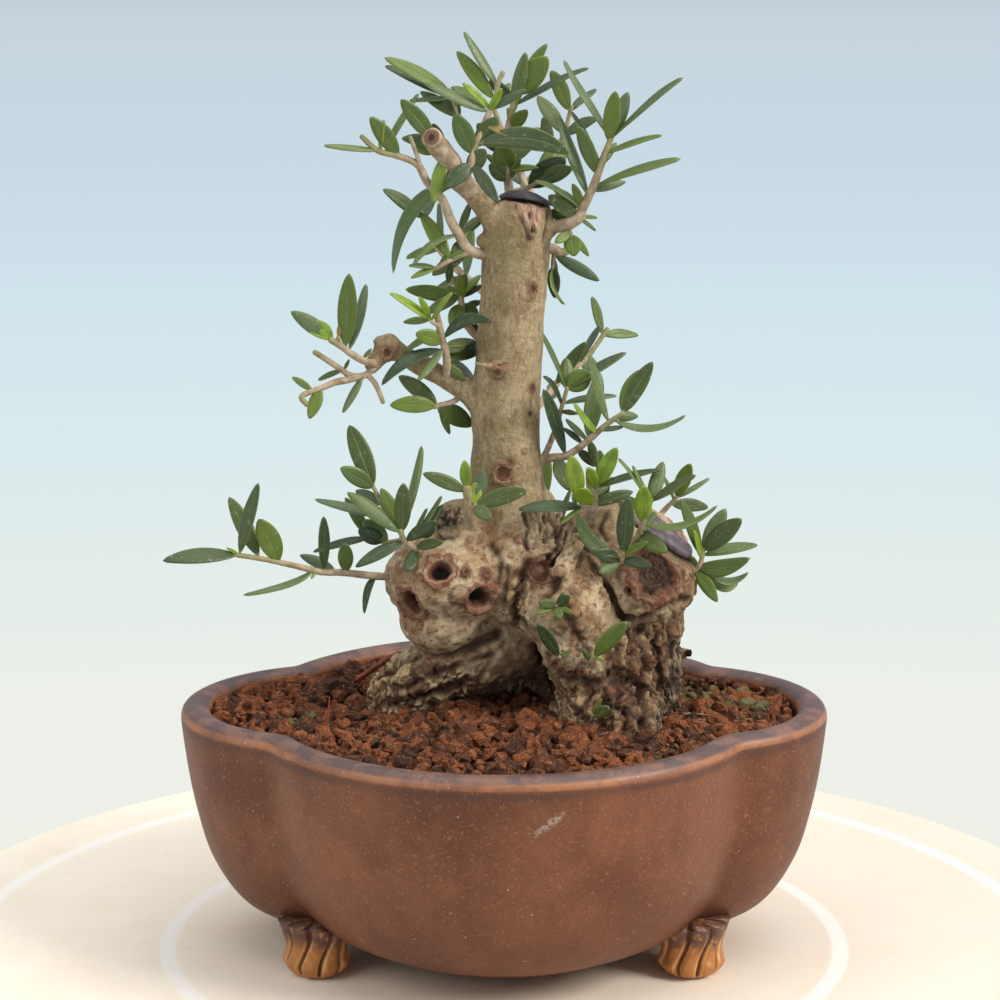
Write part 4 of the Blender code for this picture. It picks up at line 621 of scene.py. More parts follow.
# where the wound pastes lie, in mm but for their thickness and the gap under them, in metres
facetShape = {"point": (37, -2.6, 105), "normal": (0.52, -0.22, 0.825), "size": (6.6, 10.8),
              "thickness": 0.0012}
capShape = {"centre": (5.0, 0, 186.1), "size": (6.4, 6.8), "droop": 0.045, "lean": 0.35, "slope": 0.14,
            "thickness": 0.0010}
pasteGap = 0.0003
# painted shade in hollows: the height below which it is looked for, how rays are sent out from the bark to
# find how shut in it is, and how strong the painted shade is there
hollowShadeShape = {"below": 0.125, "lift": 0.0004, "reach": 0.014, "rays": 10, "seed": 3, "strength": 0.88}


def facetFrame():
    normal = Vector(facetShape["normal"]).normalized()
    along = Vector((0, 0, -1)).cross(normal).cross(normal).normalized()
    return normal, along, normal.cross(along)


def capHeight(x, y):
    # the cut top under the black paste
    centreX, centreY, top = [value * 0.001 for value in capShape["centre"]]
    dx, dy = x - centreX, y - centreY
    fall = (dx ** 2 + capShape["lean"] * dy ** 2) * capShape["droop"] * 1000
    return top - fall - capShape["slope"] * dx


def rawBark():
    bm = bmesh.new()
    for x, y, z, rx, ry, rz in barkShape["lumps"]:
        place = Matrix.Translation(mm(x, y, z)) @ Matrix.Diagonal(mm(rx, ry, rz)).to_4x4()
        bmesh.ops.create_icosphere(bm, subdivisions=4, radius=1, matrix=place)
    for line in barkShape["limbs"].values():
        tubeAlong(bm, [mm(*stop[:3]) for stop in line], [stop[3] * 0.001 for stop in line], 24,
                  endStretch=0.02)
    bmesh.ops.recalc_face_normals(bm, faces=bm.faces)
    skin = linked("rawBark", meshOf(bm, "rawBark"))
    merge = skin.modifiers.new("merge", "REMESH")
    merge.mode = "VOXEL"
    merge.voxel_size = barkShape["voxel"]
    soften = skin.modifiers.new("soften", "SMOOTH")
    soften.iterations = barkShape["soften"]
    bakeMesh(skin)
    mesh = skin.data
    bpy.data.objects.remove(skin)
    return mesh


def onBark(bark, x, z):
    # the point and facing of the bark that shows at x, z
    point, normal, index, distance = bark.ray_cast(eye, (mm(x, 0, z) - eye).normalized())
    return point, normal


def distanceToLine(point, line):
    best = 1.0
    for a, b in zip(line, line[1:]):
        run = b - a
        share = min(max((point - a).dot(run) / run.length_squared, 0), 1)
        best = min(best, (a + run * share - point).length)
    return best


def zones(p):
    # how flaky, dead and burly the bark is at a point, each 0 to 1
    x, y, z = p.x * 1000, p.y * 1000, p.z * 1000
    jitter = noise.noise(p * 220) * 3.5 + noise.noise(p * 700) * 1.2
    burl = 1 - smoothStep(101, 117, z + jitter)
    leftRoot = (1 - smoothStep(70.5, 75, z + jitter * 0.6)) * (1 - smoothStep(-9, 6, x + jitter))
    rightSide = (1 - smoothStep(82, 88, z + jitter)) * smoothStep(21, 27, x + jitter + (74 - z) * 0.28)
    rightFoot = (1 - smoothStep(69, 74, z + jitter)) * smoothStep(8, 14, x)
    band = bell(x - 3.8, 2.6) * smoothStep(81, 84, z) * (1 - smoothStep(97, 99, z)) * (1 if y < -6 else 0)
    behind = (1 - smoothStep(72, 80, z + jitter)) * smoothStep(2, 8, y)
    lumpRim = smoothStep(38, 43, x + jitter * 0.5) * smoothStep(82, 86, z)
    lumpRim *= (1 - smoothStep(104, 107, z)) * 0.7
    flaky = min(max(leftRoot, rightSide, rightFoot, band, behind, lumpRim), 1)
    slab = abs(x - (46 - (80 - z) * 0.33))
    dead = bell(slab, 4.6) * (1 - smoothStep(80, 84, z + jitter)) * (1 if y < 4 else 0.3)
    dead = max(dead, bell((p - seenAt(-13.2, 107, -7)).length * 1000, 5.0) * 1.4 - 0.3 if p.x < -0.006 else 0)
    return flaky, min(max(dead, 0), 1), burl


def bareWood(p):
    # how far a point lies within the wedge of bare wood below the cut top
    x, z = flatOf(p)
    share = (z - 177.3) / 6.9
    if share < 0 or p.y > 0:
        return 0
    return smoothStep(0, 0.9, x - 7.9 + 7 * share) * smoothStep(0, 0.9, 7.9 + 3.8 * share - x)


def barkPaint():
    paint = Paint("olive bark", 0.78)
    flaky, dead, burl = paint.attribute("flaky"), paint.attribute("dead"), paint.attribute("burl")
    ring, ringShow, hole, rot = (paint.attribute(n) for n in ("ring", "ringShow", "hole", "rot"))
    crease, plate, shade = paint.attribute("crease"), paint.attribute("plate"), paint.attribute("shade")
    knob, wood = paint.attribute("knob"), paint.attribute("wood")
    coarse, mid, fine = paint.noise(9, 4, 0.6), paint.noise(2.6, 4, 0.62), paint.noise(0.55, 3, 0.6)
    trunkTone = paint.mix(paint.ramp(coarse, 0.35, 0.65), rgb(150, 128, 94), rgb(182, 160, 124))
    algae = paint.ramp(paint.noise(5, 5, 0.65, paint.stretched((1, 1, 0.55))), 0.46, 0.62)
    trunkTone = paint.mix(algae * 0.5, trunkTone, rgb(132, 122, 74))
    streaky = paint.noise(1.5, 4, 0.7, paint.stretched((1, 1, 0.3)))
    trunkTone = paint.mix(paint.ramp(streaky, 0.5, 0.64) * 0.55, trunkTone, rgb(112, 86, 58))
    mottle = paint.noise(1.1, 4, 0.7)
    trunkTone = paint.mix(paint.ramp(mottle, 0.52, 0.62) * 0.4, trunkTone, rgb(120, 94, 64))
    trunkTone = paint.mix(paint.ramp(mottle, 0.44, 0.34) * 0.45, trunkTone, rgb(206, 188, 156))
    burlTone = paint.mix(paint.ramp(coarse, 0.38, 0.62), rgb(168, 134, 98), rgb(214, 190, 152))
    burlTone = paint.mix(paint.ramp(mid, 0.5, 0.64) * 0.65, burlTone, rgb(136, 90, 62))
    burlTone = paint.mix(paint.ramp(mid, 0.46, 0.34) * 0.5, burlTone, rgb(232, 212, 178))
    tone = paint.mix(burl, trunkTone, burlTone)
    tone = paint.mix(paint.ramp(paint.noise(1.3, 3, 0.6), 0.56, 0.72) * 0.4, tone, rgb(108, 82, 60))
    pores = paint.ramp(paint.cells(1.7), 0.3, 0.14) * paint.ramp(paint.noise(6, 2), 0.42, 0.56)
    pores = pores * (0.3 + 0.7 * burl)
    tone = paint.mix(pores * 0.85, tone, rgb(166, 98, 58))
    lines = paint.maths("SINE", ring * 26 + mid * 11) * 0.5 + 0.5
    scarTone = paint.mix(lines, rgb(112, 68, 46), rgb(180, 142, 112))
    tone = paint.mix(ringShow * (0.4 + 0.5 * mid), tone, scarTone)
    rim = paint.ramp(paint.maths("ABSOLUTE", ring - 1.3 + mid * 0.4), 0.17, 0.05)
    tone = paint.mix(rim * (0.3 + 0.45 * burl), tone, rgb(128, 66, 44))
    crest = paint.ramp(plate + (fine - 0.5) * 0.6, 0.2, 0.8)
    plateTone = paint.mix(crest, rgb(94, 54, 30), rgb(234, 202, 150))
    plateTone = paint.mix(paint.ramp(mid, 0.5, 0.66) * 0.5, plateTone, rgb(140, 94, 60))
    plateTone = paint.mix(paint.ramp(paint.axis(0), 0.006, 0.028) * 0.6, plateTone, rgb(104, 66, 40))
    tone = paint.mix(flaky * 0.9, tone, plateTone)
    streaks = paint.noise(1.6, 4, 0.6, paint.stretched((1, 1, 0.16), (0, math.radians(-18), 0)))
    deadTone = paint.mix(paint.ramp(streaks, 0.42, 0.6), rgb(44, 29, 22), rgb(158, 134, 106))
    tone = paint.mix(paint.ramp(dead, 0.25, 0.6), tone, deadTone)
    tone = paint.mix(knob * 0.6, tone, rgb(150, 98, 64))
    woodTone = paint.mix(paint.ramp(streaky, 0.42, 0.6), rgb(206, 170, 144), rgb(156, 112, 88))
    tone = paint.mix(wood, tone, woodTone)
    # painted shade: darker in folds, in the fissures of flaky bark and round the feet of knobs
    tone = paint.mix(crease * 0.9, tone, rgb(64, 36, 24))
    # painted shade: hollows and burl undersides darkened from the shade attribute
    tone = paint.mix(shade, tone, rgb(60, 32, 21))
    # the holes: dark rotten wood and painted shade within them, near black in the deepest
    holeTone = paint.mix(rot, rgb(132, 92, 68), rgb(26, 14, 11))
    holeTone = paint.mix(lines * paint.ramp(rot, 0.95, 0.7) * 0.6, holeTone, rgb(150, 104, 78))
    holeTone = paint.mix(paint.ramp(paint.noise(0.9, 3), 0.55, 0.7) * 0.4, holeTone, rgb(96, 66, 50))
    tone = paint.mix(paint.ramp(hole, 0.1, 0.45) * 0.8, tone, rgb(112, 56, 38))
    tone = paint.mix(paint.ramp(hole, 0.5, 0.9), tone, holeTone)
    moss = paint.ramp(paint.noise(3.2, 4, 0.6), 0.55, 0.66) * paint.attribute("moss")
    tone = paint.mix(moss * 0.7, tone, rgb(108, 94, 46))
    paint.feed("Base Color", tone)
    paint.feed("Roughness", 0.72 + 0.16 * mid)
    furrows = paint.noise(1.5, 5, 0.65, paint.stretched((1, 1, 0.5), (0, 0.5, 0)), distortion=1.5)
    paint.bump((lines * ringShow, 0.2), (mid, 0.4), (fine, 0.2), (pores, 0.4),
               (furrows * (0.4 + 0.6 * burl), 0.55), (streaky, 0.25), (mottle, 0.25), (streaks * dead, 0.6))
    return paint


def barkMarks(bark):
    # the knots, knobs and folds, laid on the bark before they are pressed into it
    knots = [(*onBark(bark, x, z), outer * 0.001, hole * 0.001, depth * 0.001, rot, tall)
             for x, z, outer, hole, depth, rot, tall in barkShape["knots"]]
    knobs = [(onBark(bark, x, z)[0], radius * 0.001, height * 0.001)
             for x, z, radius, height in barkShape["knobs"]]
    folds = []
    for line, depth, width in barkShape["folds"]:
        points = [onBark(bark, x, z)[0] for x, z in line]
        folds.append(([point for point in points if point], depth * 0.001, width * 0.001))
    return knots, knobs, folds


def pressKnots(p, push, knots, marks):
    # a swollen rim with a groove round it, and a hole within
    for centre, facing, outer, inner, depth, rot, tall in knots:
        offset = p - centre
        height = offset.dot(facing)
        if abs(height) > 1.2 * outer or offset.length > 2.6 * outer:
            continue
        flat = offset - height * facing
        flat.z /= tall
        radius = flat.length * (1 + 0.34 * noise.noise(p * 300) + 0.2 * noise.noise(p * 800))
        push += bell(radius - outer, 0.30 * outer) * 0.26 * outer
        push -= bell(radius - 1.45 * outer, 0.16 * outer) * 0.08 * outer
        pit = 1 / (1 + math.exp(min((radius - inner) / (0.08 * outer), 60)))
        push -= pit * (depth + noise.noise(p * 900) * 0.0006)
        marks["ring"] = min(marks["ring"], radius / outer)
        marks["ringShow"] = max(marks["ringShow"], 1 - smoothStep(0.95, 1.75, radius / outer))
        if pit > marks["hole"]:
            marks["hole"], marks["rot"] = pit, rot
    return push


def raiseKnobs(p, push, knobs, marks):
    for centre, radius, height in knobs:
        away = (p - centre).length
        if away < 3 * radius:
            dome = bell(away * away / radius, radius)
            push += 1.2 * height * dome
            # a ring of painted shade round the knob's foot
            marks["crease"] = max(marks["crease"], 0.7 * bell(away - 1.3 * radius, 0.3 * radius))
            marks["knob"] = max(marks["knob"], dome)
    return push


def cutFolds(p, push, folds, marks):
    warp = noise.noise(p * 320) * 0.0009
    for line, depth, width in folds:
        if (p - line[len(line) // 2]).length < 0.024:
            away = distanceToLine(p, line) + warp
            crease = bell(away, width)
            push += depth * (0.3 * bell(away - 2.1 * width, width) - crease)
            # the crease mark lays painted shade along the fold
            marks["crease"] = max(marks["crease"], crease)
    return push


def trimBark(co, facing):
    # keeps the bark above the roots' end and under the two wound pastes
    co.z = max(co.z, barkShape["rootBottom"])
    if co.z > 0.180 and abs(co.x - capShape["centre"][0] * 0.001) < 0.008:
        co.z = min(co.z, capHeight(co.x, co.y) - pasteGap)
    beyond = (co - mm(*facetShape["point"])).dot(facing) + pasteGap
    if beyond > 0 and co.x > 0.024 and co.z > 0.090:
        co -= facing * beyond
    return co


def makeBark():
    mesh = rawBark()
    bm = bmesh.new()
    bm.from_mesh(mesh)
    bmesh.ops.bisect_plane(bm, geom=bm.verts[:] + bm.edges[:] + bm.faces[:], plane_no=(0, 0, -1),
                           plane_co=(0, 0, barkShape["rootBottom"]), clear_outer=True)
    closeEnds(bm)
    knots, knobs, folds = barkMarks(BVHTree.FromBMesh(bm))
    names = ("flaky", "dead", "burl", "ring", "ringShow", "hole", "rot", "crease", "plate", "shade", "knob",
             "moss", "wood")
    layers = {name: bm.verts.layers.float.new(name) for name in names}
    bm.normal_update()
    moves = []
    for vert in bm.verts:
        p = vert.co
        flaky, dead, burl = zones(p)
        stretched = Vector((p.x * 240, p.y * 240, p.z * 330)) + Vector((7, 3, 1))
        wrinkle = 1 - 2.2 * abs(noise.noise(stretched))
        push = noise.noise(p * 130) * 0.0005 + noise.noise(p * 420) * 0.00024 * (0.4 + burl)
        push += wrinkle * 0.00028 * burl
        marks = {"flaky": flaky, "dead": dead, "burl": burl, "ring": 3.0, "ringShow": 0, "hole": 0,
                 "rot": 1, "crease": 0, "plate": 0.5, "knob": 0, "wood": bareWood(p),
                 "moss": 1 - smoothStep(53, 65, p.z * 1000)}
        push -= marks["wood"] * 0.0005
        push = pressKnots(p, push, knots, marks)
        push = raiseKnobs(p, push, knobs, marks)
        push = cutFolds(p, push, folds, marks)
        if flaky > 0.02 or dead > 0.02:
            push += flakes(p, flaky, dead, marks)
        moves.append(vert.normal * push)
        for name, value in marks.items():
            vert[layers[name]] = value
    facing = facetFrame()[0]
    for vert, move in zip(bm.verts, moves):
        vert.co = trimBark(vert.co + move, facing)
    shadeHollows(bm, layers["shade"])
    report("bark", addPiece("barkSkin", bm, [barkPaint()], ["trunk"]))


def flakes(p, flaky, dead, marks):
    # furrowed bark, with crests along the grain and cracks between them, and the long grooves of
    # weathered wood
    grain = Vector((0.82, 0, 0.57)) if p.x < 0.006 else Vector((-0.16, 0, 0.99))
    shifts = (Vector((0, 0, 0)), Vector((9, 0, 0)), Vector((0, 9, 0)))
    warped = p + Vector([noise.noise(p * 260 + shift) for shift in shifts]) * 0.0022
    along = warped.dot(grain)
    across = warped.x * grain.z - warped.z * grain.x
    ridge = 1 - 2.6 * abs(noise.noise(Vector((across * 300, warped.y * 280, along * 100))))
    fibre = 1 - 2.4 * abs(noise.noise(Vector((across * 760, warped.y * 700, along * 210))))
    near, spots = noise.voronoi(Vector((across * 480, warped.y * 440, along * 240)))
    crack = 1 - smoothStep(0.03, 0.2, near[1] - near[0])
    lift = noise.cell(spots[0] * 3.1) - 0.5
    fissure = bell(noise.noise(Vector((across * 330, warped.y * 300, along * 115 + 5))), 0.085)
    # the fissures get painted shade through the crease mark
    marks["crease"] = max(marks["crease"], flaky * fissure * 0.85)
    marks["plate"] = min(max(0.36 + 0.36 * ridge + 0.3 * fibre + 0.2 * lift - 0.5 * crack, 0), 1)
    push = flaky * (ridge * 0.0006 + fibre * 0.00035 + lift * 0.0002 - crack * 0.0004 - fissure * 0.0011
                    + noise.noise(p * 900) * 0.0002)
    grooves = noise.noise(Vector((p.x * 700 + p.z * 230, p.y * 600, p.z * 100)))
    return push + dead * (grooves * 0.0013 - 0.0002)


def shadeHollows(bm, layer):
    # deep hollows get painted shade: rays sent out from each point find how shut in it is
    bm.normal_update()
    tree = BVHTree.FromBMesh(bm)
    draw = random.Random(hollowShadeShape["seed"])
    rays = [Vector((draw.gauss(0, 1), draw.gauss(0, 1), draw.gauss(0, 1))).normalized()
            for i in range(hollowShadeShape["rays"])]
    for vert in bm.verts:
        if vert.co.z > hollowShadeShape["below"]:
            continue
        start = vert.co + vert.normal * hollowShadeShape["lift"]
        aims = [(vert.normal * 1.05 + ray).normalized() for ray in rays]
        shut = sum(1 for aim in aims if tree.ray_cast(start, aim, hollowShadeShape["reach"])[0])
        vert[layer] = smoothStep(0.2, 0.9, shut / len(rays)) * hollowShadeShape["strength"]


# wound paste: a black cap on the cut top, and a dried purple-grey patch on the right lump
def pastePaint(name, tone, edge, roughness):
    paint = Paint(name, roughness)
    cloudy = paint.noise(3.5, 4, 0.6)
    colour = paint.mix(paint.ramp(cloudy, 0.42, 0.62), tone, edge)
    colour = paint.mix(paint.ramp(paint.noise(0.8, 2), 0.66, 0.74) * 0.5, colour, rgb(150, 140, 132))
    paint.feed("Base Color", colour)
    paint.feed("Roughness", roughness - 0.08 + 0.2 * cloudy)
    paint.bump((cloudy, 0.3), (paint.noise(0.7, 3), 0.08))
    return paint


def pasteProfile(v):
    # share of the patch's reach, and of its thickness, along a line from its top's centre to its underside's
    if v < 0.42:
        return v / 0.42 * 0.93, 1.0
    if v < 0.58:
        turn = (v - 0.42) / 0.16 * math.pi
        return 0.93 + 0.07 * math.sin(turn), 0.5 + 0.5 * math.cos(turn)
    return (1 - v) / 0.42 * 0.93, 0.0


def makePastes():
    bm = bmesh.new()
    middle = mm(*capShape["centre"])

    def onCap(u, v):
        share, lift = pasteProfile(v)
        x = math.cos(2 * math.pi * u) * share * capShape["size"][0] * 0.001
        y = math.sin(2 * math.pi * u) * share * capShape["size"][1] * 0.001
        wave = 1 + 0.10 * noise.noise(Vector((middle.x + x, middle.y + y, 0)) * 500)
        x = middle.x + x * wave
        y += middle.y
        ripple = noise.noise(Vector((x, y, 0.01)) * 380) * 0.00018 * lift
        return Vector((x, y, capHeight(x, y) + lift * capShape["thickness"] * (1.1 - 0.25 * share) + ripple))
    gridSkin(bm, 56, 30, onCap)
    black = pastePaint("black wound paste", rgb(52, 46, 50), rgb(82, 74, 78), 0.5)
    top = addPiece("capPaste", bm, [black], ["wound_paste_top"])
    bm = bmesh.new()
    normal, along, across = facetFrame()

    def onFacet(u, v):
        share, lift = pasteProfile(v)
        angle = 2 * math.pi * u
        wave = 1 + 0.16 * noise.noise(Vector((math.cos(angle), math.sin(angle), 2.0)) * 1.6)
        wide, tall = facetShape["size"]
        flat = across * math.cos(angle) * wide + along * math.sin(angle) * tall
        spot = mm(*facetShape["point"]) + flat * wave * share * 0.001
        ripple = noise.noise(spot * 330) * 0.00025 * lift
        return spot + normal * (lift * facetShape["thickness"] * (1 - 0.1 * share) + ripple)
    gridSkin(bm, 72, 30, onFacet)
    grey = pastePaint("grey wound paste", rgb(84, 76, 84), rgb(142, 122, 120), 0.46)
    addPiece("sidePaste", bm, [grey], ["wound_paste_side"])
    report("wound pastes", top)


# the tie wire: its route in mm, from soil to soil, and its radius in metres
wireShape = {"radius": 0.0007, "sides": 12, "route": [
    (-41, 27, 48), (-40.5, 26.5, 57), (-34, 21, 63.6), (-28, 16.5, 68.6), (-24.5, 15.5, 69.6), (-22, 18, 67),
    (-20.5, 23, 60), (-20, 25.5, 48)]}


def makeWire():
    paint = Paint("brown wire", 0.42)
    worn = paint.noise(2.2, 4, 0.65)
    paint.feed("Base Color", paint.mix(paint.ramp(worn, 0.42, 0.6), rgb(112, 52, 36), rgb(158, 84, 60)))
    paint.feed("Roughness", 0.3 + 0.3 * worn)
    paint.bump((worn, 0.06))
    bm = bmesh.new()
    path = smoothPath([mm(*point) for point in wireShape["route"]], 8)
    tubeAlong(bm, path, [wireShape["radius"]] * len(path), wireShape["sides"])
    report("wire", addPiece("tieWire", bm, [paint], ["anchor_wire"]))


def coatDrainMesh():
    paint = Paint("drain mesh plastic", 0.5)
    paint.feed("Base Color", paint.mix(paint.noise(3, 2), rgb(46, 46, 48), rgb(62, 60, 58)))
    paint.bump((paint.noise(0.6, 2), 0.05))
    for side in ("left", "right"):
        frame["nodes"]["drain_mesh_" + side].material_slots[0].material = paint.material
    report("drain mesh")


# clay granules: sizes in mm, how many, and how far a heap may stand above the bed, in metres; each block of
# more than crumbsFrom carries crumbs, and the extra ones are laid at a chosen x, y with a size
soilShape = {
    "small": (1.0, 1.8), "large": (2.0, 3.8), "smallCount": 1150, "largeCount": 560, "tries": 30000,
    "heap": 0.0032, "lift": 0.35, "rim": 0.0072, "lowest": 0.052, "crumbs": 3, "crumbsFrom": 0.0017,
    "seed": 11,
    "extra": [(-47.5, 12, 2.9), (-44.5, 15, 2.6), (-50, 9, 2.4), (-41, 17, 2.7), (-45.5, 9.5, 2.5),
              (-48, 15, 2.1), (-43, 12, 2.6), (6.2, -20, 3.4), (10.5, -22, 3.6), (3.5, -61, 2.0)],
}


def granulePaint(name, gapShade):
    paint = Paint(name, 0.92)
    grain, green = paint.attribute("grain"), paint.attribute("green")
    cloudy, fine = paint.noise(2.2, 4, 0.65), paint.noise(0.5, 4, 0.75)
    light = paint.ramp(grain + (cloudy - 0.5) * 0.8, 0.15, 0.85)
    tone = paint.mix(light, rgb(74, 41, 24), rgb(142, 80, 42))
    tone = paint.mix(paint.ramp(cloudy, 0.52, 0.7) * 0.6, tone, rgb(184, 114, 60))
    tone = paint.mix(paint.ramp(fine, 0.54, 0.38) * 0.8, tone, rgb(44, 23, 14))
    sparkle = paint.ramp(paint.cells(0.62), 0.2, 0.1) * paint.ramp(paint.noise(2.4, 3), 0.53, 0.63)
    tone = paint.mix(sparkle * 0.9, tone, rgb(226, 206, 186))
    tone = paint.mix(green * paint.ramp(cloudy, 0.4, 0.55), tone, rgb(104, 104, 62))
    # painted shade: darkens the bed that shows in the gaps between granules
    tone = paint.mix(gapShade, tone, rgb(46, 26, 18))
    paint.feed("Base Color", tone)
    paint.bump((cloudy, 0.5), (fine, 0.3))
    return paint


def granuleBall(rounds):
    # the ball that granules are shaped from
    bm = bmesh.new()
    bmesh.ops.create_icosphere(bm, subdivisions=rounds, radius=1)
    return meshOf(bm, "granule")


def shapeGranule(ball, centre, radius, draw):
    # a crumbly block: the ball pushed in and out, and stretched its own way
    angle = draw.uniform(0, 6.3)
    turn = Matrix.Rotation(angle, 3, Vector((draw.gauss(0, 1), draw.gauss(0, 1), 1)).normalized())
    sizes = Vector((draw.uniform(0.95, 1.3), draw.uniform(0.8, 1.1), draw.uniform(0.65, 0.95))) * radius
    shift = Vector((draw.uniform(0, 90), draw.uniform(0, 90), 0))
    rough = draw.uniform(0.4, 0.75)
    points = []
    for vert in ball.vertices:
        point = vert.co
        block = max(abs(point.x), abs(point.y), abs(point.z))
        push = 1 + rough * noise.noise(point * 1.7 + shift) + 0.8 * rough * noise.noise(point * 4.2 + shift)
        points.append(centre + turn @ (point * push * (0.72 + 0.28 / block) * sizes))
    return points


def bedUnder(spot):
    return solids["soil"].ray_cast(spot, Vector((0, 0, -1)))[0]


def layGranules(draw):
    # drops granules one by one; each rests on the bed or on those that lie near it
    laid, near = [], {}
    for kind, count in (("small", soilShape["smallCount"]), ("large", soilShape["largeCount"])):
        tries = 0
        while count and tries < soilShape["tries"]:
            tries += 1
            radius = draw.uniform(*soilShape[kind]) * 0.001
            angle = draw.uniform(0, 2 * math.pi)
            reach = math.sqrt(draw.random()) * (planRadius(angle, soilShape["rim"]) - radius * 0.85)
            x, y = reach * math.cos(angle), reach * math.sin(angle)
            if y > 0.02 and draw.random() < 0.35:
                continue
            top = bedUnder(Vector((x, y, 0.07)))
            if top is None or top.z < soilShape["lowest"]:
                continue
            rest = top.z - radius * soilShape["lift"]
            cell = (round(x / 0.006), round(y / 0.006))
            for i, j in [(cell[0] + a, cell[1] + b) for a in (-1, 0, 1) for b in (-1, 0, 1)]:
                for other, size in near.get((i, j), []):
                    apart = math.hypot(other.x - x, other.y - y)
                    touch = (radius + size) * 0.72
                    if apart < touch:
                        rest = max(rest, other.z + math.sqrt(touch ** 2 - apart ** 2) * 0.8)
            if rest + radius > top.z + soilShape["heap"] + 0.3 * radius:
                continue
            laid.append((Vector((x, y, rest)), radius))
            near.setdefault(cell, []).append(laid[-1])
            count -= 1
    for x, y, size in soilShape["extra"]:
        top = bedUnder(mm(x, y, 70)) or mm(x, y, 57.5)
        laid.append((Vector((x * 0.001, y * 0.001, top.z + size * 0.0007)), size * 0.001))
    return laid


def makeSoil():
    draw = random.Random(soilShape["seed"])
    laid = layGranules(draw)
    crumbs = []
    for centre, radius in laid:
        for i in range(soilShape["crumbs"] if radius > soilShape["crumbsFrom"] else 0):
            aim = Vector((draw.gauss(0, 1), draw.gauss(0, 1), abs(draw.gauss(0, 1)) + 0.2)).normalized()
            crumbs.append((centre + aim * radius * 0.85, radius * draw.uniform(0.2, 0.42)))
    paint = granulePaint("clay granules", 0.0)
    for name, rounds, grains in (("soilGranules", 2, laid), ("soilCrumbs", 1, crumbs)):
        ball = granuleBall(rounds)
        bm = bmesh.new()
        layers = [bm.verts.layers.float.new(layer) for layer in ("grain", "green")]
        for grain in grains:
            bm.from_mesh(ball)
        verts = iter(bm.verts)
        for centre, radius in grains:
            mossy = noise.noise(Vector((centre.x * 55, centre.y * 55, 4))) > 0.3 or centre.x > 0.036
            marks = (draw.random(), 0.9 if mossy and draw.random() < 0.16 else 0.0)
            for point in shapeGranule(ball, centre, radius, draw):
                vert = next(verts)
                vert.co = point
                for layer, mark in zip(layers, marks):
                    vert[layer] = mark
        piece = addPiece(name, bm, [paint])
        piece.data.shade_flat()
        report(name, piece)
    # the bed under the granules is darkened as painted shade for the gaps between them
    frame["nodes"]["soil"].material_slots[0].material = granulePaint("clay bed", 0.8).material


# a red splinter and two straws as (start, end, radius, share of straw) in mm, and how many more bits to draw
litterShape = {
    "sticks": [((-43.6, -17, 57.8), (-42.2, -16, 66.5), 0.55, 0.0),
               ((40, -13, 60.5), (49, -17, 60.0), 0.4, 0.8), ((44, -9, 60.2), (50, -12, 60.8), 0.35, 0.9)],
    "bits": 16, "acrossX": (-58, 60), "acrossY": (-46, -20), "length": 3.5, "lift": 1.6, "seed": 5,
}


def litterPaint():
    paint = Paint("dry litter", 0.8)
    tone = paint.attribute("tone")
    streak = paint.noise(0.7, 3, 0.6)
    colour = paint.mix(tone, rgb(138, 62, 44), rgb(190, 160, 116))
    paint.feed("Base Color", paint.mix(paint.ramp(streak, 0.45, 0.65) * 0.5, colour, rgb(96, 66, 48)))
    paint.bump((streak, 0.12))
    return paint


def makeLitter():
    draw = random.Random(litterShape["seed"])
    bm = bmesh.new()
    sticks = list(litterShape["sticks"])
    length = litterShape["length"]
    for i in range(litterShape["bits"]):
        angle = draw.uniform(0, 6.28)
        x, y = draw.uniform(*litterShape["acrossX"]), draw.uniform(*litterShape["acrossY"])
        if math.hypot(x * 0.001, y * 0.001) > planRadius(math.atan2(y, x), 0.012):
            continue
        top = bedUnder(mm(x, y, 70))
        if top:
            z = top.z * 1000 + litterShape["lift"]
            end = (x + math.cos(angle) * length, y + math.sin(angle) * length, z + draw.uniform(-0.5, 1.2))
            sticks.append(((x, y, z), end, draw.uniform(0.15, 0.3), draw.uniform(0.2, 1)))
    for start, end, radius, kind in sticks:
        middle = (mm(*start) + mm(*end)) / 2 + mm(draw.uniform(-0.5, 0.5), 0, draw.uniform(0, 0.5))
        path = smoothPath([mm(*start), middle, mm(*end)], 5)
        sizes = [radius * 0.001 * (1.1 - 0.9 * k / (len(path) - 1)) for k in range(len(path))]
        tubeAlong(bm, path, sizes, 7, {"tone": lambda u, v: kind})
    report("litter", addPiece("soilLitter", bm, [litterPaint()]))
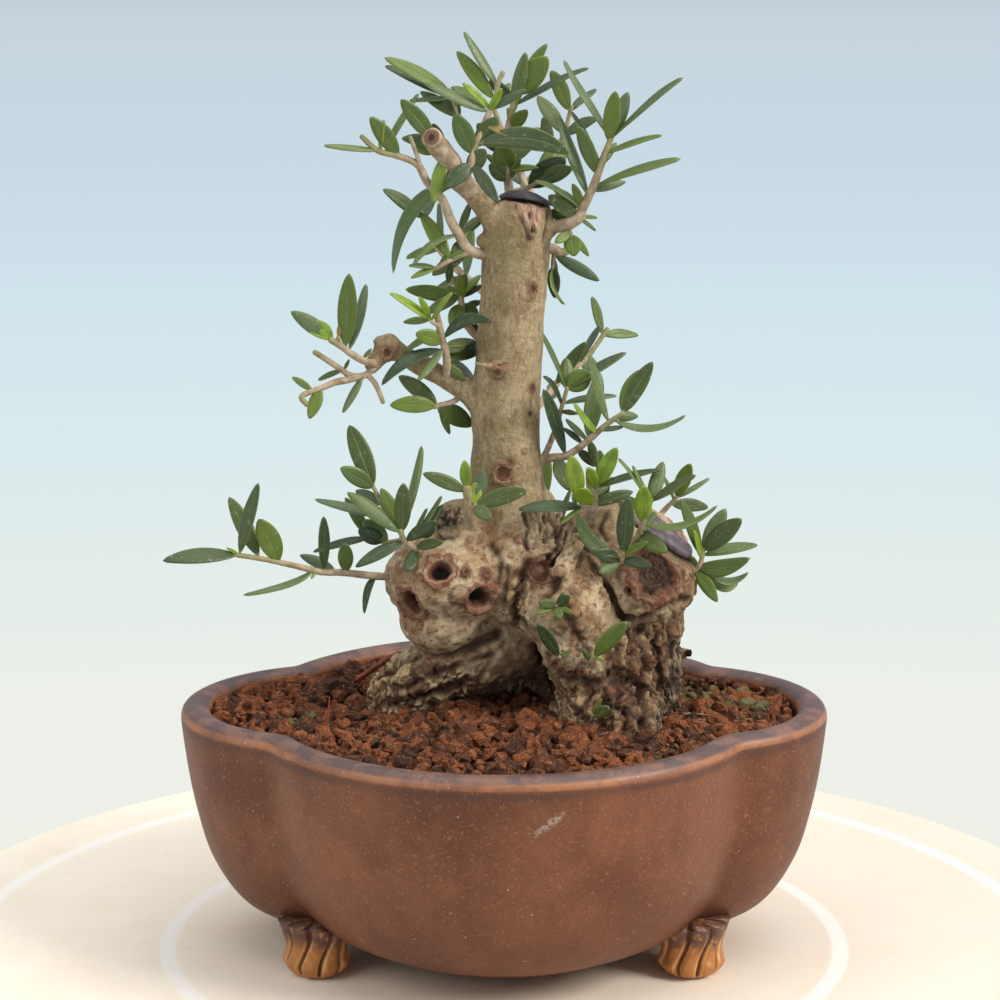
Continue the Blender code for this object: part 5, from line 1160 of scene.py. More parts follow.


# sprays of leaves, read from the photograph. A twig is (first radius, last radius, points as x, z, depth)
# and a leaf (base x, base z, tip x, tip z, width as seen, tone, depth of its tip from its base, and where it
# is curved a point x, z on its way), in mm as seen on the plane through the trunk. Tones are m mid green,
# d dark dusty, which also stands for painted shade on leaves that lie in shade, y young, g grey underside
# and b dry. With "face", depths count from the bark at that x, z.
frontSprays = {
    "spray_crown_left": {
        "twigs": [
            (2.7, 2.4, [(-5.7, 185.6, -4), (-10.2, 189.2, -6), (-13.3, 194.5, -8), (-16.6, 198.8, -9),
                (-17.3, 199.7, -11)]),
            (1, 0.6, [(-9.6, 189.2, -7), (-8, 193, -9), (-6.8, 198, -9), (-4.5, 203.5, -8), (-2, 209, -8),
                (-1.5, 212.3, -8), (-0.3, 215, -8)]),
            (0.8, 0.5, [(-7.2, 196.5, -9), (-9.5, 202, -5), (-11.5, 206.5, -4), (-12.5, 210.5, -4)])],
        "leaves": [(-16.5, 199, -24.6, 208.7, 4.3, "m", -3), (-12.5, 209, -22.6, 208.4, 1, "g", 3),
            (-12, 210.5, -28.4, 218.4, 3.3, "m", -2), (-12, 209, -28.4, 216.5, 3.2, "d", 3),
            (-3.9, 205.4, -19, 212.6, 2.8, "g", -3), (-10.5, 204, -20, 210.5, 3, "m", 4),
            (-2.5, 208.5, -11.3, 220, 3.6, "m", 3), (-1.5, 212, -9.6, 224.6, 2.2, "g", 2),
            (-3.6, 206, -10, 212.6, 2.1, "y", -2), (-3.5, 205.3, -0.5, 211.3, 2, "y", -3),
            (-7.4, 195.4, -11.8, 205.4, 4.8, "m", -3), (-14.5, 196.5, -17, 203, 3, "d", 5),
            (-8, 193.4, -13.9, 187.6, 4, "d", -4), (-7.8, 193.7, -1.3, 184, 3.2, "d", -5),
            (-14.3, 195.7, -17, 183.8, 3.6, "m", -3), (-15, 197, -21.8, 197.5, 3.6, "m", 4),
            (-16, 198.3, -24.5, 199.5, 3, "g", 5), (-10.2, 189, -26.8, 167.2, 3.6, "m", -2, -22, 181.8),
            (-6.8, 198, 15.7, 195.9, 5.4, "d", -6, 5, 199.5), (-4.8, 202.6, 2.3, 199.5, 1.6, "b", -3),
            (-3.2, 206.5, 5.1, 211, 2, "g", -3), (-11.8, 207.5, -9.9, 208.9, 1.2, "b", -3),
            (-6.9, 197.5, -1.5, 204.5, 4.4, "d", 5), (-9, 191.5, -4.5, 197, 4.4, "d", 6),
            (-10.4, 204, -14.5, 211.5, 3.4, "d", 6)]},
    "spray_upper_left": {
        "twigs": [
            (1.4, 0.6, [(-3.5, 171.5, -2), (-8.5, 173, -5), (-10.7, 176.4, -6), (-12.8, 180, -7),
                (-14.8, 185, -8), (-18.5, 189.3, -9), (-20.7, 193.3, -9), (-25.5, 195.4, -10),
                (-30.2, 196.6, -11), (-34, 200, -12)]),
            (0.6, 0.45, [(-19.6, 191.5, -9), (-21, 196, -10), (-22.4, 199.8, -11)]),
            (0.7, 0.5, [(-8.2, 172.6, -5), (-12.8, 170.6, -7), (-16.8, 168.3, -8)])],
        "leaves": [(-30.2, 196.6, -43.1, 197.8, 1.3, "g", -4), (-25, 195.2, -32, 204.6, 4.2, "m", -4),
            (-29.5, 196.6, -28.6, 204, 1.3, "y", -2), (-28.5, 196.4, -20.3, 210.2, 1.5, "m", 4),
            (-12.8, 170.6, -20.1, 182, 3.6, "m", 3), (-10.7, 176.4, -22, 169.2, 1.6, "g", -5, -17.3, 174.8),
            (-9, 174, -15.4, 170.2, 1.2, "m", -5), (-8, 173, -12.8, 170.8, 1, "m", -6),
            (-12.5, 170.7, -10.2, 175.4, 2.8, "d", 5), (-9, 172.2, -17.4, 166.9, 3.4, "d", 4),
            (-12.8, 170.5, -13.5, 164.9, 2, "d", 5), (-16.8, 168.3, -23, 169.2, 1.2, "m", -2),
            (-16.7, 168.3, -22.5, 166.2, 1.6, "m", -3), (-10.7, 176.4, -7.9, 184.8, 1.8, "m", 4),
            (-10.5, 176.2, -4.6, 181.3, 2.4, "m", 5)]},
    "spray_crown_middle": {
        "twigs": [
            (1.3, 0.6, [(2.5, 181, 6), (1.2, 187, 9), (0.4, 197, 8), (1.4, 204, 7), (2.6, 209, 6),
                (4.3, 213.5, 6)]),
            (0.9, 0.5, [(1.2, 186.5, 9), (5.2, 187.6, 9), (8.6, 189.4, 8)])],
        "leaves": [(1.8, 206, 5.1, 219.8, 3.4, "g", -4), (4.3, 213.5, 10.2, 221.7, 2.6, "m", 2),
            (2.8, 209.5, 10.3, 218.7, 6.2, "m", -2), (2.2, 207.4, 20.3, 216, 1.5, "d", -3),
            (0.9, 201.5, 5.6, 206.2, 3.5, "m", -3), (0.7, 191.5, -1, 198, 6, "m", -3),
            (0.9, 189.5, 4, 195, 1.8, "m", -2), (0.6, 192, 8.3, 192.5, 1.7, "m", -3),
            (5.5, 187.8, 14.7, 194.8, 6, "d", -3), (1.5, 204.5, 3.4, 208.8, 1.2, "y", -3),
            (8.6, 189.4, 12, 198, 3.6, "m", 4), (0.6, 194, 6, 199.5, 3.4, "d", 4),
            (0.5, 196, -6.5, 203, 5, "d", 5), (0.6, 193, 8.6, 202, 4.5, "d", 5),
            (1.2, 190, -3.6, 193.4, 4, "d", 4), (8.4, 189.2, 16.4, 192.6, 4, "d", 5),
            (2.4, 208, -3.6, 213.4, 3.2, "d", 4), (1.6, 204.6, 2.8, 208.4, 0.9, "y", -4),
            (1.3, 203, 0.7, 206.8, 0.8, "y", -4), (1.4, 203.6, 2.9, 201.2, 0.9, "b", -3)]},
    "spray_crown_right": {
        "twigs": [
            (1.7, 0.7, [(11, 178.4, -2), (14.5, 178.9, -3), (17.9, 180.6, -4), (18.8, 183, -4),
                (21.4, 188.4, -5), (23.6, 194.6, -6), (25.6, 200, -6)]),
            (0.6, 0.5, [(15.2, 179.2, -3), (16.2, 176.2, -4)])],
        "leaves": [(20.2, 186, 13.1, 205, 2.8, "g", 3), (22, 190.6, 17.4, 202.6, 3.6, "m", -4),
            (22.8, 193, 15.7, 206, 1, "d", 4), (25, 198.3, 26.4, 210.7, 4.2, "m", -3),
            (25.6, 199.6, 29.5, 210.5, 3.8, "g", 3), (25.4, 199.6, 14.1, 218, 1.5, "g", 5),
            (25.6, 200, 42.6, 213.8, 1.2, "m", -3), (24.2, 196, 37.7, 200.2, 1.3, "m", -4),
            (21.2, 187.5, 42.2, 194.7, 1.7, "m", -5), (21, 187.2, 29.1, 189.2, 2.4, "g", 5),
            (23, 192.8, 26.8, 198.5, 2, "g", 5), (18.2, 181, 22.4, 180.6, 0.9, "y", -2),
            (17.9, 180.4, 22, 177.5, 0.8, "m", 2), (18.6, 182.6, 7, 189.4, 1.1, "m", -4, 12.5, 187.3),
            (18.7, 182.8, 11.5, 187.8, 2.4, "g", 4), (18.7, 183, 16.3, 188.8, 2.2, "m", -3),
            (17.9, 180.6, 10.5, 186, 4, "d", 4), (17, 180, 10.6, 182, 3.4, "d", 5),
            (16, 176.8, 16.9, 171.4, 4.4, "m", -2), (15.9, 176.9, 12.2, 174.6, 2.4, "m", -3),
            (16.2, 176.2, 20.4, 171.4, 1.8, "m", 3)]},
    "spray_right_hanging": {
        "twigs": [
            (1.5, 1, [(8, 173.3, 4), (11.8, 173.2, 4), (13.2, 172.4, 4), (15, 172.6, 4)]),
            (0.7, 0.4, [(12.2, 173, 4), (11.8, 170.5, 4), (11.6, 168.5, 4)])],
        "leaves": [(12, 171.8, 23, 165.5, 3, "g", -4), (11.9, 171, 12.7, 166.4, 0.9, "m", -3),
            (11.7, 169.5, 12.2, 161.3, 3.2, "d", 3), (11.6, 168.7, 14.6, 159.7, 0.8, "m", -3, 11.6, 164)]},
    "spray_inner_left": {
        "twigs": [
            (1.1, 0.5, [(-4.5, 150.5, 5), (-8.4, 154, 5), (-10.2, 158, 4), (-10.5, 162, 3), (-12.4, 166, 2),
                (-13, 167.4, 2)])],
        "leaves": [(-10.4, 160.5, -10.7, 167.2, 2.6, "m", -4), (-10.5, 162, -9.3, 167.4, 2.2, "m", 3),
            (-10.5, 162, -5.6, 166.9, 2, "y", 6), (-10.4, 161.4, -5.2, 164.4, 1.7, "d", 5),
            (-11.3, 163.6, -15.5, 162.4, 2.6, "m", 3), (-10.5, 161, -16.9, 164, 1.6, "m", 5),
            (-10.5, 161.2, -23.8, 163.5, 3.8, "m", -2), (-10.6, 162.2, -19, 157.6, 3, "m", -4),
            (-10.3, 160, -6.3, 156.5, 3.5, "m", 5), (-10.2, 158.4, -5.4, 160.6, 2, "d", 6),
            (-10.3, 159.8, -12.7, 154.2, 4, "m", -4), (-9.6, 156.6, -4.5, 150, 3, "d", 6)]},
    "spray_mid_left": {
        "twigs": [
            (1.15, 0.8, [(-13.9, 142, -4), (-13.9, 144, -6), (-14, 147.6, -8), (-15.2, 152.5, -9),
                (-16.2, 157.3, -10)]),
            (0.6, 0.4, [(-15.8, 154.8, -10), (-17.4, 155.6, -11), (-18, 156.6, -11)])],
        "leaves": [(-18, 156.4, -27.6, 162.6, 2, "y", -4), (-17.8, 156.3, -20.5, 161.8, 1.8, "y", -3),
            (-17.6, 156, -12.4, 162.7, 1.3, "y", -4), (-17.8, 156.2, -24.4, 155.5, 1.9, "m", 3),
            (-14.7, 151, -2.7, 155.7, 3.2, "d", -4, -9.5, 156), (-15.4, 153.4, -24.2, 148.4, 1.8, "m", 2),
            (-14.8, 150.4, -21.4, 152.8, 4, "m", -4),
            (-14.2, 148.8, -29.8, 140.1, 3.1, "d", -5, -22.5, 146.6),
            (-14.3, 149.3, -21, 141.2, 2.1, "g", -6), (-14, 146.4, -4.6, 150, 4.5, "d", 14),
            (-14, 148.5, -9.3, 149.6, 2, "d", 5), (-14.2, 149.3, -7, 151, 2, "d", 12),
            (-13.9, 145.4, -9.3, 141.3, 2, "m", 10), (-13.9, 145.8, -7.4, 141.8, 2.5, "m", 13)]},
    "spray_branch_end": {
        "twigs": [
            (0.95, 0.8, [(-31.5, 145.6, -9), (-33.6, 146, -10), (-36.6, 147.6, -11), (-39.4, 149.7, -12),
                (-41.9, 151.3, -13)]),
            (0.7, 0.5, [(-39.8, 150, -12), (-40.1, 152, -13)])],
        "leaves": [(-38.2, 149, -37.3, 167.4, 4.7, "m", -3), (-37.5, 148.4, -33.2, 164.9, 2.2, "g", 4),
            (-41.8, 151.2, -51.5, 158.2, 3.9, "g", 3), (-41.6, 151, -45.3, 156, 3, "y", -4),
            (-41.4, 151, -47, 153.1, 1, "y", -3), (-40, 151.4, -39.9, 155, 1, "b", -2),
            (-34.5, 146.4, -32, 149.2, 1, "g", -4)]},
    "spray_branch_low": {
        "twigs": [
            (0.8, 0.65, [(-31.4, 144.4, -8), (-34.2, 142.5, -9), (-37.5, 142.7, -9), (-39.1, 143.8, -10),
                (-43.7, 146.9, -11), (-45.9, 148.3, -12)]),
            (0.9, 0.65, [(-35, 142.3, -9), (-37.9, 141.5, -10), (-40.7, 141, -11), (-43.7, 139.8, -12),
                (-49, 137.6, -14), (-47.9, 135.4, -14)]),
            (0.7, 0.55, [(-33.4, 143, -8.6), (-31.4, 140.8, -9), (-30.2, 138.2, -10), (-29.4, 136, -10)])],
        "leaves": [(-34.4, 142.6, -39.3, 133.4, 1.9, "g", -4), (-39.3, 144, -45.1, 141.4, 1.3, "m", 4),
            (-38.8, 143.6, -37.4, 146.6, 0.9, "m", 4), (-46.5, 138.8, -51.4, 142.2, 1.8, "m", 3),
            (-44.4, 139.5, -47.4, 131.9, 3.3, "m", -3)]},
    "spray_under_branch": {
        "twigs": [(0.8, 0.5, [(-9.5, 139, -1), (-12, 136.4, -3), (-15.9, 135.3, -5), (-17, 134.8, -6)])],
        "leaves": [(-16, 135.4, -25.6, 142.5, 4, "d", 5), (-16.2, 135.3, -27.8, 135.3, 4.2, "m", -4),
            (-16.5, 135, -7.8, 130.2, 5, "m", 9), (-15.5, 135.5, -13.2, 128.1, 2, "g", 5)]},
    "spray_mid_right": {
        "twigs": [
            (1.1, 0.6, [(5, 121.5, -1), (11.6, 122.4, -2), (15, 122.8, -3), (18.2, 124.8, -4),
                (21.1, 127.2, -5), (23.5, 129.4, -6), (26.1, 131.5, -7), (29, 133.4, -8)]),
            (0.8, 0.5, [(9.5, 122.1, -1.7), (11.2, 126, 2), (13, 130.8, 3), (13.7, 133.7, 1),
                (15.3, 139.6, 0)])],
        "leaves": [(15.2, 139.4, 8.9, 153.2, 1, "m", 2), (15.1, 139.2, 15, 147, 3.8, "g", 4),
            (15.3, 139.6, 21, 143.4, 5.6, "m", -5), (25.4, 131, 20.6, 148.1, 2.3, "g", -3),
            (15.2, 139.2, 29.6, 148.2, 2.2, "d", 3), (20.2, 126.5, 23.2, 143.5, 4.6, "g", 4),
            (14.4, 136, 27.4, 137.6, 1.6, "m", 4), (13.9, 134.8, 9.4, 142.5, 1.1, "d", -2, 12.2, 139.6),
            (15, 122.9, 9.4, 139.3, 3.3, "d", -7), (13.7, 133.6, 18, 133.2, 1.4, "d", -4),
            (22.7, 128.7, 16.8, 136, 1.6, "y", -5, 20, 131.2), (20.5, 126.8, 14.9, 132, 1.5, "g", 3),
            (19.3, 125.8, 14.3, 129.7, 1.6, "d", 4), (28.8, 133.2, 33.4, 144.1, 5, "m", -4),
            (29, 133.4, 36, 146, 4.2, "d", 2), (27.2, 132.2, 32.6, 132.6, 2.6, "g", 4),
            (26.4, 131.7, 44.3, 132.9, 1.4, "g", -5, 36, 130.2), (23.3, 129.2, 29, 130, 1.1, "g", 4),
            (20.8, 126.8, 22.7, 119.8, 2.3, "g", 4), (18, 124.6, 22.2, 120.2, 2.5, "d", 5),
            (12.6, 122.5, 16, 114.2, 4.2, "d", -5)]},
    "spray_low_left": {
        "twigs": [
            (1, 0.6, [(-22, 92.5, -7), (-30, 92.8, -10), (-35.3, 93.3, -12), (-39.9, 93.8, -14),
                (-45, 93.9, -16), (-49.8, 95.1, -18), (-54.5, 96.2, -20), (-59.3, 97.2, -22),
                (-65.6, 98.2, -24)])],
        "leaves": [(-65.2, 98, -83.9, 96.7, 3.8, "d", -7), (-65, 98, -68.2, 100, 0.9, "y", -1),
            (-65.4, 98.2, -59.9, 116.2, 3, "d", -3), (-60, 97.3, -67.3, 112.7, 4.2, "d", 4),
            (-55.3, 96.4, -60.1, 107.2, 5.5, "m", -4), (-44.4, 94, -44.2, 107.9, 2.9, "d", -3),
            (-41, 93.9, -50.2, 98.2, 2.9, "g", 4), (-38.5, 93.6, -39.1, 101.4, 3.8, "m", -3),
            (-47, 94.3, -64.4, 88, 1.4, "g", -5, -54, 91),
            (-31.5, 92.9, -34.5, 83.3, 1.9, "d", -3, -33.4, 89.6), (-46.4, 94, -47.4, 92.2, 0.9, "y", -2)]},
    "spray_low_left_cluster": {
        "twigs": [
            (1.1, 0.6, [(-17, 97, -9), (-21.5, 99.6, -13), (-24.6, 102, -15), (-25.3, 104.5, -16)]),
            (0.6, 0.5, [(-24.8, 102.8, -15), (-27.5, 107, -13), (-29.8, 110.6, -12), (-32, 115.4, -12)]),
            (0.6, 0.4, [(-24.6, 102, -15), (-29.5, 101.4, -12), (-33.5, 102.5, -10)]),
            (0.6, 0.4, [(-23, 100.8, -14), (-20.5, 103, -13), (-19, 105.2, -12)])],
        "leaves": [(-32, 115.4, -37.7, 130.5, 5.2, "d", 3), (-31.8, 115, -40, 119.9, 4.2, "m", -4),
            (-29.8, 110.6, -36.3, 114.3, 3, "d", 4), (-25.2, 104.4, -30.1, 114.9, 3.7, "m", 2),
            (-25, 103.6, -24.6, 116.2, 4.2, "d", -3), (-25.2, 104.4, -20.1, 125.5, 1.8, "g", 4),
            (-25, 103.4, -38.4, 113.8, 3.8, "g", -5), (-22.6, 101.2, -15.2, 113, 1, "g", 5),
            (-22.8, 101, -18.8, 109.9, 0.8, "m", 4), (-19.3, 104.8, -14.8, 110.8, 1.7, "m", 2),
            (-24.2, 101.6, -16.2, 106.6, 3.2, "d", -5), (-20.7, 102.8, -16.8, 105.2, 3, "d", -3),
            (-21.8, 99.8, -14.8, 101.5, 2.6, "d", -4), (-21.3, 99.4, -24, 93.8, 3.2, "d", -4),
            (-24.4, 101.8, -36.6, 95.1, 3.2, "d", -6), (-28, 101.6, -34.8, 106.9, 4, "m", 3),
            (-29.5, 101.5, -35.8, 104.4, 4.2, "d", -2), (-33.3, 102.4, -38.9, 112.6, 3, "m", 2),
            (-28, 107.6, -46.4, 112.1, 2.3, "g", -3), (-33.4, 102.4, -47, 98.9, 2, "d", 3)]},
    "spray_cup": {
        "face": (-8.3, 105.5),
        "twigs": [
            (1.4, 1.1, [(-8.2, 104, 3), (-8.3, 106.5, -1.5), (-8.5, 110.5, -3), (-9.2, 115, -4)]),
            (0.5, 0.4, [(-8.4, 109.3, -2.6), (-7, 110.8, -4.6)])],
        "leaves": [(-9.1, 114, -19.9, 118.5, 3.4, "d", -3), (-9.2, 114.8, -9.7, 121.8, 2.9, "y", -2),
            (-7.1, 110.7, -6.9, 116.4, 3.4, "y", -3), (-7.2, 110.6, -4.9, 119, 3.6, "g", 2),
            (-7, 110.8, 5.8, 114.3, 4.2, "d", -2), (-7.4, 110.3, -3.2, 107, 3.4, "d", -3)]},
    "spray_ribbed_stub": {
        "face": (21, 105.5),
        "twigs": [
            (1.8, 1, [(20.8, 104, 3), (21.2, 108, -1), (21.7, 112, -2), (21.2, 115.5, -2.5),
                (20.9, 117.5, -3)]),
            (0.6, 0.4, [(21.6, 111.3, -2), (19.2, 110.3, -5), (18.2, 112.3, -6)]),
            (0.6, 0.4, [(21.3, 114.6, -2.5), (23, 115.2, -3.4)])],
        "leaves": [(18.2, 112.3, 16.3, 123.1, 4.4, "y", -2), (22.9, 115.2, 27.5, 125, 4, "y", -3),
            (22.8, 115.1, 20.4, 120, 3, "y", -4), (18.3, 112, 16.4, 116.6, 1.6, "y", -4),
            (19, 110.8, 20.4, 114.6, 5.8, "y", -6), (19.3, 110.3, 3.3, 109.4, 3.1, "d", -4),
            (21.8, 112.5, 26.8, 117.6, 2.4, "g", 5), (22.9, 115.2, 38.3, 119.4, 1.7, "d", -4),
            (21.6, 110.5, 31.6, 114, 3, "d", 4), (19.3, 110.2, 13.7, 105.6, 1, "m", -3)]},
    "spray_low_right": {
        "face": (28.8, 96.5),
        "twigs": [(0.9, 0.5, [(28.6, 95.4, 3), (28.8, 96.8, -2), (29.4, 98.6, -4.5)])],
        "leaves": [(29, 97.6, 17.5, 109.4, 3.8, "d", -4, 21.3, 101.5), (28.9, 97, 22, 98.9, 3.4, "d", -2),
            (29.4, 98.4, 30.2, 112.7, 4.4, "d", -3), (29.2, 97.8, 35.4, 101.5, 1.8, "m", -5),
            (29, 97, 36.4, 95.3, 2.9, "d", -4), (28.8, 96.8, 23.4, 93.6, 3, "g", -4)]},
    "spray_lump_right": {
        "face": (32.5, 102),
        "twigs": [
            (0.8, 0.5, [(32, 100.4, 4), (32.6, 102.4, -2), (33.9, 106, -5), (35.5, 110.5, -6),
                (36.2, 112, -6)])],
        "leaves": [(33.9, 106.2, 34.2, 115.6, 4.3, "y", -4), (35.7, 111, 38.8, 121.5, 3.6, "g", 3),
            (33, 103.6, 37.2, 109, 2.8, "g", 3), (32.7, 102.8, 40.1, 99, 4.3, "m", -4),
            (33.9, 106, 52.3, 110.6, 1.4, "g", -4, 44, 106.2), (35.8, 111.2, 27.8, 122.3, 0.7, "m", 2),
            (36, 111.6, 31.3, 120.5, 1, "g", 4), (36.1, 111.8, 46.9, 118.1, 2.2, "d", -3),
            (34.6, 108, 29.6, 113, 2.2, "m", 4)]},
    "spray_top_right": {
        "twigs": [(0.9, 0.5, [(33, 101, 10), (38.4, 108.4, 13), (42.4, 112.8, 12)])],
        "leaves": [(42.2, 112.6, 45.5, 121, 4, "m", -2), (42.3, 112.8, 50.2, 117.3, 1.1, "g", 3),
            (41.4, 111.8, 38.8, 118, 0.8, "m", 3), (40.6, 110.8, 50, 110, 3.4, "d", 6)]},
    "spray_far_right": {
        "twigs": [(0.9, 0.5, [(40, 91.6, -4), (46.4, 94.2, -8), (48.3, 96.3, -9), (48.9, 99.6, -9)])],
        "leaves": [(48.5, 97.8, 43.1, 112.1, 3.2, "m", -6), (48.4, 97.4, 46.3, 104.4, 1.4, "y", -7),
            (48.8, 99.4, 54.3, 109.8, 4.3, "g", 3), (48.9, 99.4, 58.2, 107.3, 5, "d", -3),
            (48.6, 98, 62.3, 100.7, 2.6, "m", 3), (47.2, 95.2, 60.5, 97.4, 4.4, "m", -3, 53, 94.8),
            (47.8, 95.8, 60.2, 93.8, 1.6, "m", 3, 54, 91.5), (47.4, 95.4, 57.6, 91.1, 2.4, "m", 6, 53, 90.4),
            (46.8, 94.9, 52.6, 86.3, 3.4, "m", -4), (47.6, 95.4, 45.6, 97.6, 1.4, "m", -3),
            (46.4, 94.3, 45.2, 88.6, 1.8, "d", -3)]},
    "sprout_face": {
        "face": (13, 85),
        "twigs": [(0.6, 0.4, [(13, 84.6, 3), (12.9, 85.4, -2.6)])],
        "leaves": [(12.9, 85.4, 8.4, 86.3, 2.4, "d", -1), (12.9, 85.5, 14.7, 88.9, 1.2, "m", -2),
            (12.9, 85.3, 16.2, 88.1, 2.6, "d", -2), (12.9, 85.2, 7.8, 83.1, 1.2, "m", -1),
            (12.9, 85.3, 13.9, 82, 2.3, "m", -2), (12.9, 85.3, 17.5, 83.1, 1.4, "m", -2)]},
    "sprout_low_left": {
        "face": (13.8, 72),
        "twigs": [(0.6, 0.45, [(14.2, 71.6, 3), (13.7, 72.4, -2.4)])],
        "leaves": [(13.7, 72.4, 8.1, 80.9, 3.2, "d", -5), (13.7, 72.4, 16.6, 74, 1.2, "m", -2)]},
    "sprout_low_right": {
        "face": (21, 70.5),
        "twigs": [(0.7, 0.45, [(20.8, 69.6, 3), (21.3, 71, -2), (22.3, 72.6, -3.4)])],
        "leaves": [(22.2, 72.4, 30.4, 81.4, 4.2, "m", -4), (21.3, 71.2, 19.3, 74.5, 1.4, "g", -2),
            (22.3, 72.6, 25, 71.4, 0.8, "y", -2)]},
    "sprout_root": {
        "face": (22.5, 57.5),
        "twigs": [(0.6, 0.45, [(22.3, 56.8, 3), (22.1, 57.4, -2.2)])],
        "leaves": [(22.1, 57.4, 26.3, 59.4, 3.2, "d", -3), (22.1, 57.4, 24.2, 61.8, 1.2, "y", -2)]},
}
# the hidden side: twigs as above, with crossed pairs of leaves placed by a rule
backSprays = {
    "spray_back_crown": [
        (1.3, 0.6, [(4, 176, 5), (6, 182, 14), (4, 191, 20), (0, 200, 22), (-3, 208, 23)]),
        (0.9, 0.5, [(5, 186, 17), (10, 193, 22), (14, 200, 24), (16, 207, 24)])],
    "spray_back_left": [
        (1.2, 0.6, [(-1, 160, 5), (-5, 163, 14), (-11, 168, 21), (-17, 175, 26), (-20, 182, 28)])],
    "spray_back_right": [
        (1.2, 0.6, [(5, 132, 5), (9, 136, 14), (14, 142, 22), (20, 147, 28), (25, 154, 31)])],
    "spray_back_low": [
        (1.2, 0.6, [(12, 94, 18), (14, 99, 28), (12, 105, 34), (8, 112, 38), (6, 118, 40)]),
        (1.0, 0.5, [(13.5, 100, 30), (20, 106, 36), (26, 112, 39)])],
}
# how a leaf is built; the pairs are those of the hidden side, and the bends are the depths in mm that are
# tried until a leaf's tip meets the solid's leaf
leafShape = {
    "thickness": 0.00075, "proportion": 0.24, "columns": 12, "rows": 14, "keel": 0.10, "seed": 21,
    "pairs": 3, "pairLength": (9.5, 14.5), "pairSeed": 7, "pairTones": (0.0, 0.0, 0.5, 0.5, 0.25),
    "bends": (0, -1.5, 1.5, -3, 3, -4.5, 4.5, -6, 6, -8, 8, -10, 10),
    "toneShares": {"d": 0.0, "g": 0.25, "m": 0.5, "y": 0.75, "b": 1.0}, "tipSetback": 0.0006,
    "twigGap": 0.00035, "stubFrom": 0.0015,
}


def leafPaint():
    paint = Paint("olive leaf", 0.4, Coat_Weight=0.12, Coat_Roughness=0.35)
    along, across, under = paint.attribute("along"), paint.attribute("across"), paint.attribute("under")
    tone, vary = paint.attribute("tone"), paint.attribute("vary")
    cloudy = paint.noise(3.2, 3, 0.6)
    shade = paint.node("ShaderNodeValToRGB", {"stops": [
        (0.0, rgb(34, 54, 26)), (0.25, rgb(90, 110, 76)), (0.5, rgb(74, 97, 26)),
        (0.75, rgb(140, 172, 34)), (1.0, rgb(160, 120, 66))]}, {"Fac": tone + (vary - 0.5) * 0.14})
    shade = paint.mix(paint.ramp(cloudy, 0.4, 0.65) * 0.4, shade, rgb(52, 74, 24))
    shade = paint.mix(vary * 0.35, shade, rgb(120, 132, 42))
    side = paint.maths("ABSOLUTE", across)
    veins = paint.maths("SINE", along * 95 - side * 22) * 0.5 + 0.5
    shade = paint.mix(veins * 0.03, shade, rgb(136, 156, 100))
    rib = paint.ramp(side, 0.11, 0.03) * paint.ramp(along, 0.97, 0.75)
    shade = paint.mix(rib * 0.24, shade, rgb(140, 156, 98))
    shade = paint.mix(paint.ramp(side, 0.9, 1.0) * 0.4, shade, rgb(156, 168, 92))
    backTone = paint.mix(paint.ramp(tone, 0.62, 0.75), rgb(128, 144, 112), rgb(158, 184, 84))
    shade = paint.mix(paint.ramp(under, 0.52, 0.66), shade, backTone)
    shade = paint.mix(paint.ramp(along, 0.10, 0.03) * 0.8, shade, rgb(158, 166, 84))
    dustNoise = paint.noise(1.6, 4, 0.7)
    dust = paint.ramp(dustNoise, 0.58, 0.74) * paint.ramp(tone, 0.62, 0.3)
    shade = paint.mix(dust * (0.2 + 0.4 * vary), shade, rgb(176, 186, 168))
    specks = paint.ramp(paint.cells(0.62), 0.2, 0.1) * paint.ramp(paint.noise(1.3, 2), 0.52, 0.64)
    specks = specks * paint.ramp(tone, 0.62, 0.4)
    shade = paint.mix(specks * 0.75, shade, rgb(214, 218, 206))
    paint.feed("Base Color", shade)
    paint.feed("Roughness", 0.3 + 0.2 * cloudy + 0.2 * dust)
    paint.bump((1 - rib, 0.12), (veins, 0.02), (cloudy, 0.12))
    return paint


def twigPaint():
    paint = Paint("olive twig", 0.7)
    young = paint.attribute("along")
    cloudy, fine = paint.noise(2.4, 4, 0.6), paint.noise(0.6, 3, 0.65)
    tone = paint.mix(paint.ramp(cloudy, 0.36, 0.62), rgb(146, 124, 98), rgb(190, 168, 142))
    tone = paint.mix(paint.ramp(young + (cloudy - 0.5) * 0.5, 0.55, 1.0) * 0.75, tone, rgb(144, 142, 84))
    tone = paint.mix(paint.ramp(fine, 0.58, 0.68) * 0.5, tone, rgb(112, 78, 56))
    cut = paint.attribute("cut") + (cloudy - 0.5) * 0.5
    tone = paint.mix(paint.ramp(cut, 0.25, 0.5), tone, rgb(120, 82, 62))
    tone = paint.mix(paint.ramp(cut, 0.66, 0.9), tone, rgb(50, 31, 24))
    paint.feed("Base Color", tone)
    paint.bump((cloudy, 0.2), (fine, 0.1))
    return paint


def clearStart(path, radius, bark):
    # the first point from which a twig's round stays clear of the bark
    for i, (a, b) in enumerate(zip(path, path[1:])):
        run = (b - a).normalized()
        side = run.orthogonal().normalized()
        other = run.cross(side)
        for step in range(40):
            point = a.lerp(b, step / 40)
            rims = [point + (side * math.cos(k * math.pi / 4) + other * math.sin(k * math.pi / 4)) * radius
                    for k in range(8)]
            found = [(rim, *bark.find_nearest(rim)) for rim in rims]
            if all((rim - near).dot(normal) >= 0 and distance >= leafShape["twigGap"]
                   for rim, near, normal, index, distance in found):
                return [point] + path[i + 1:]
    return path


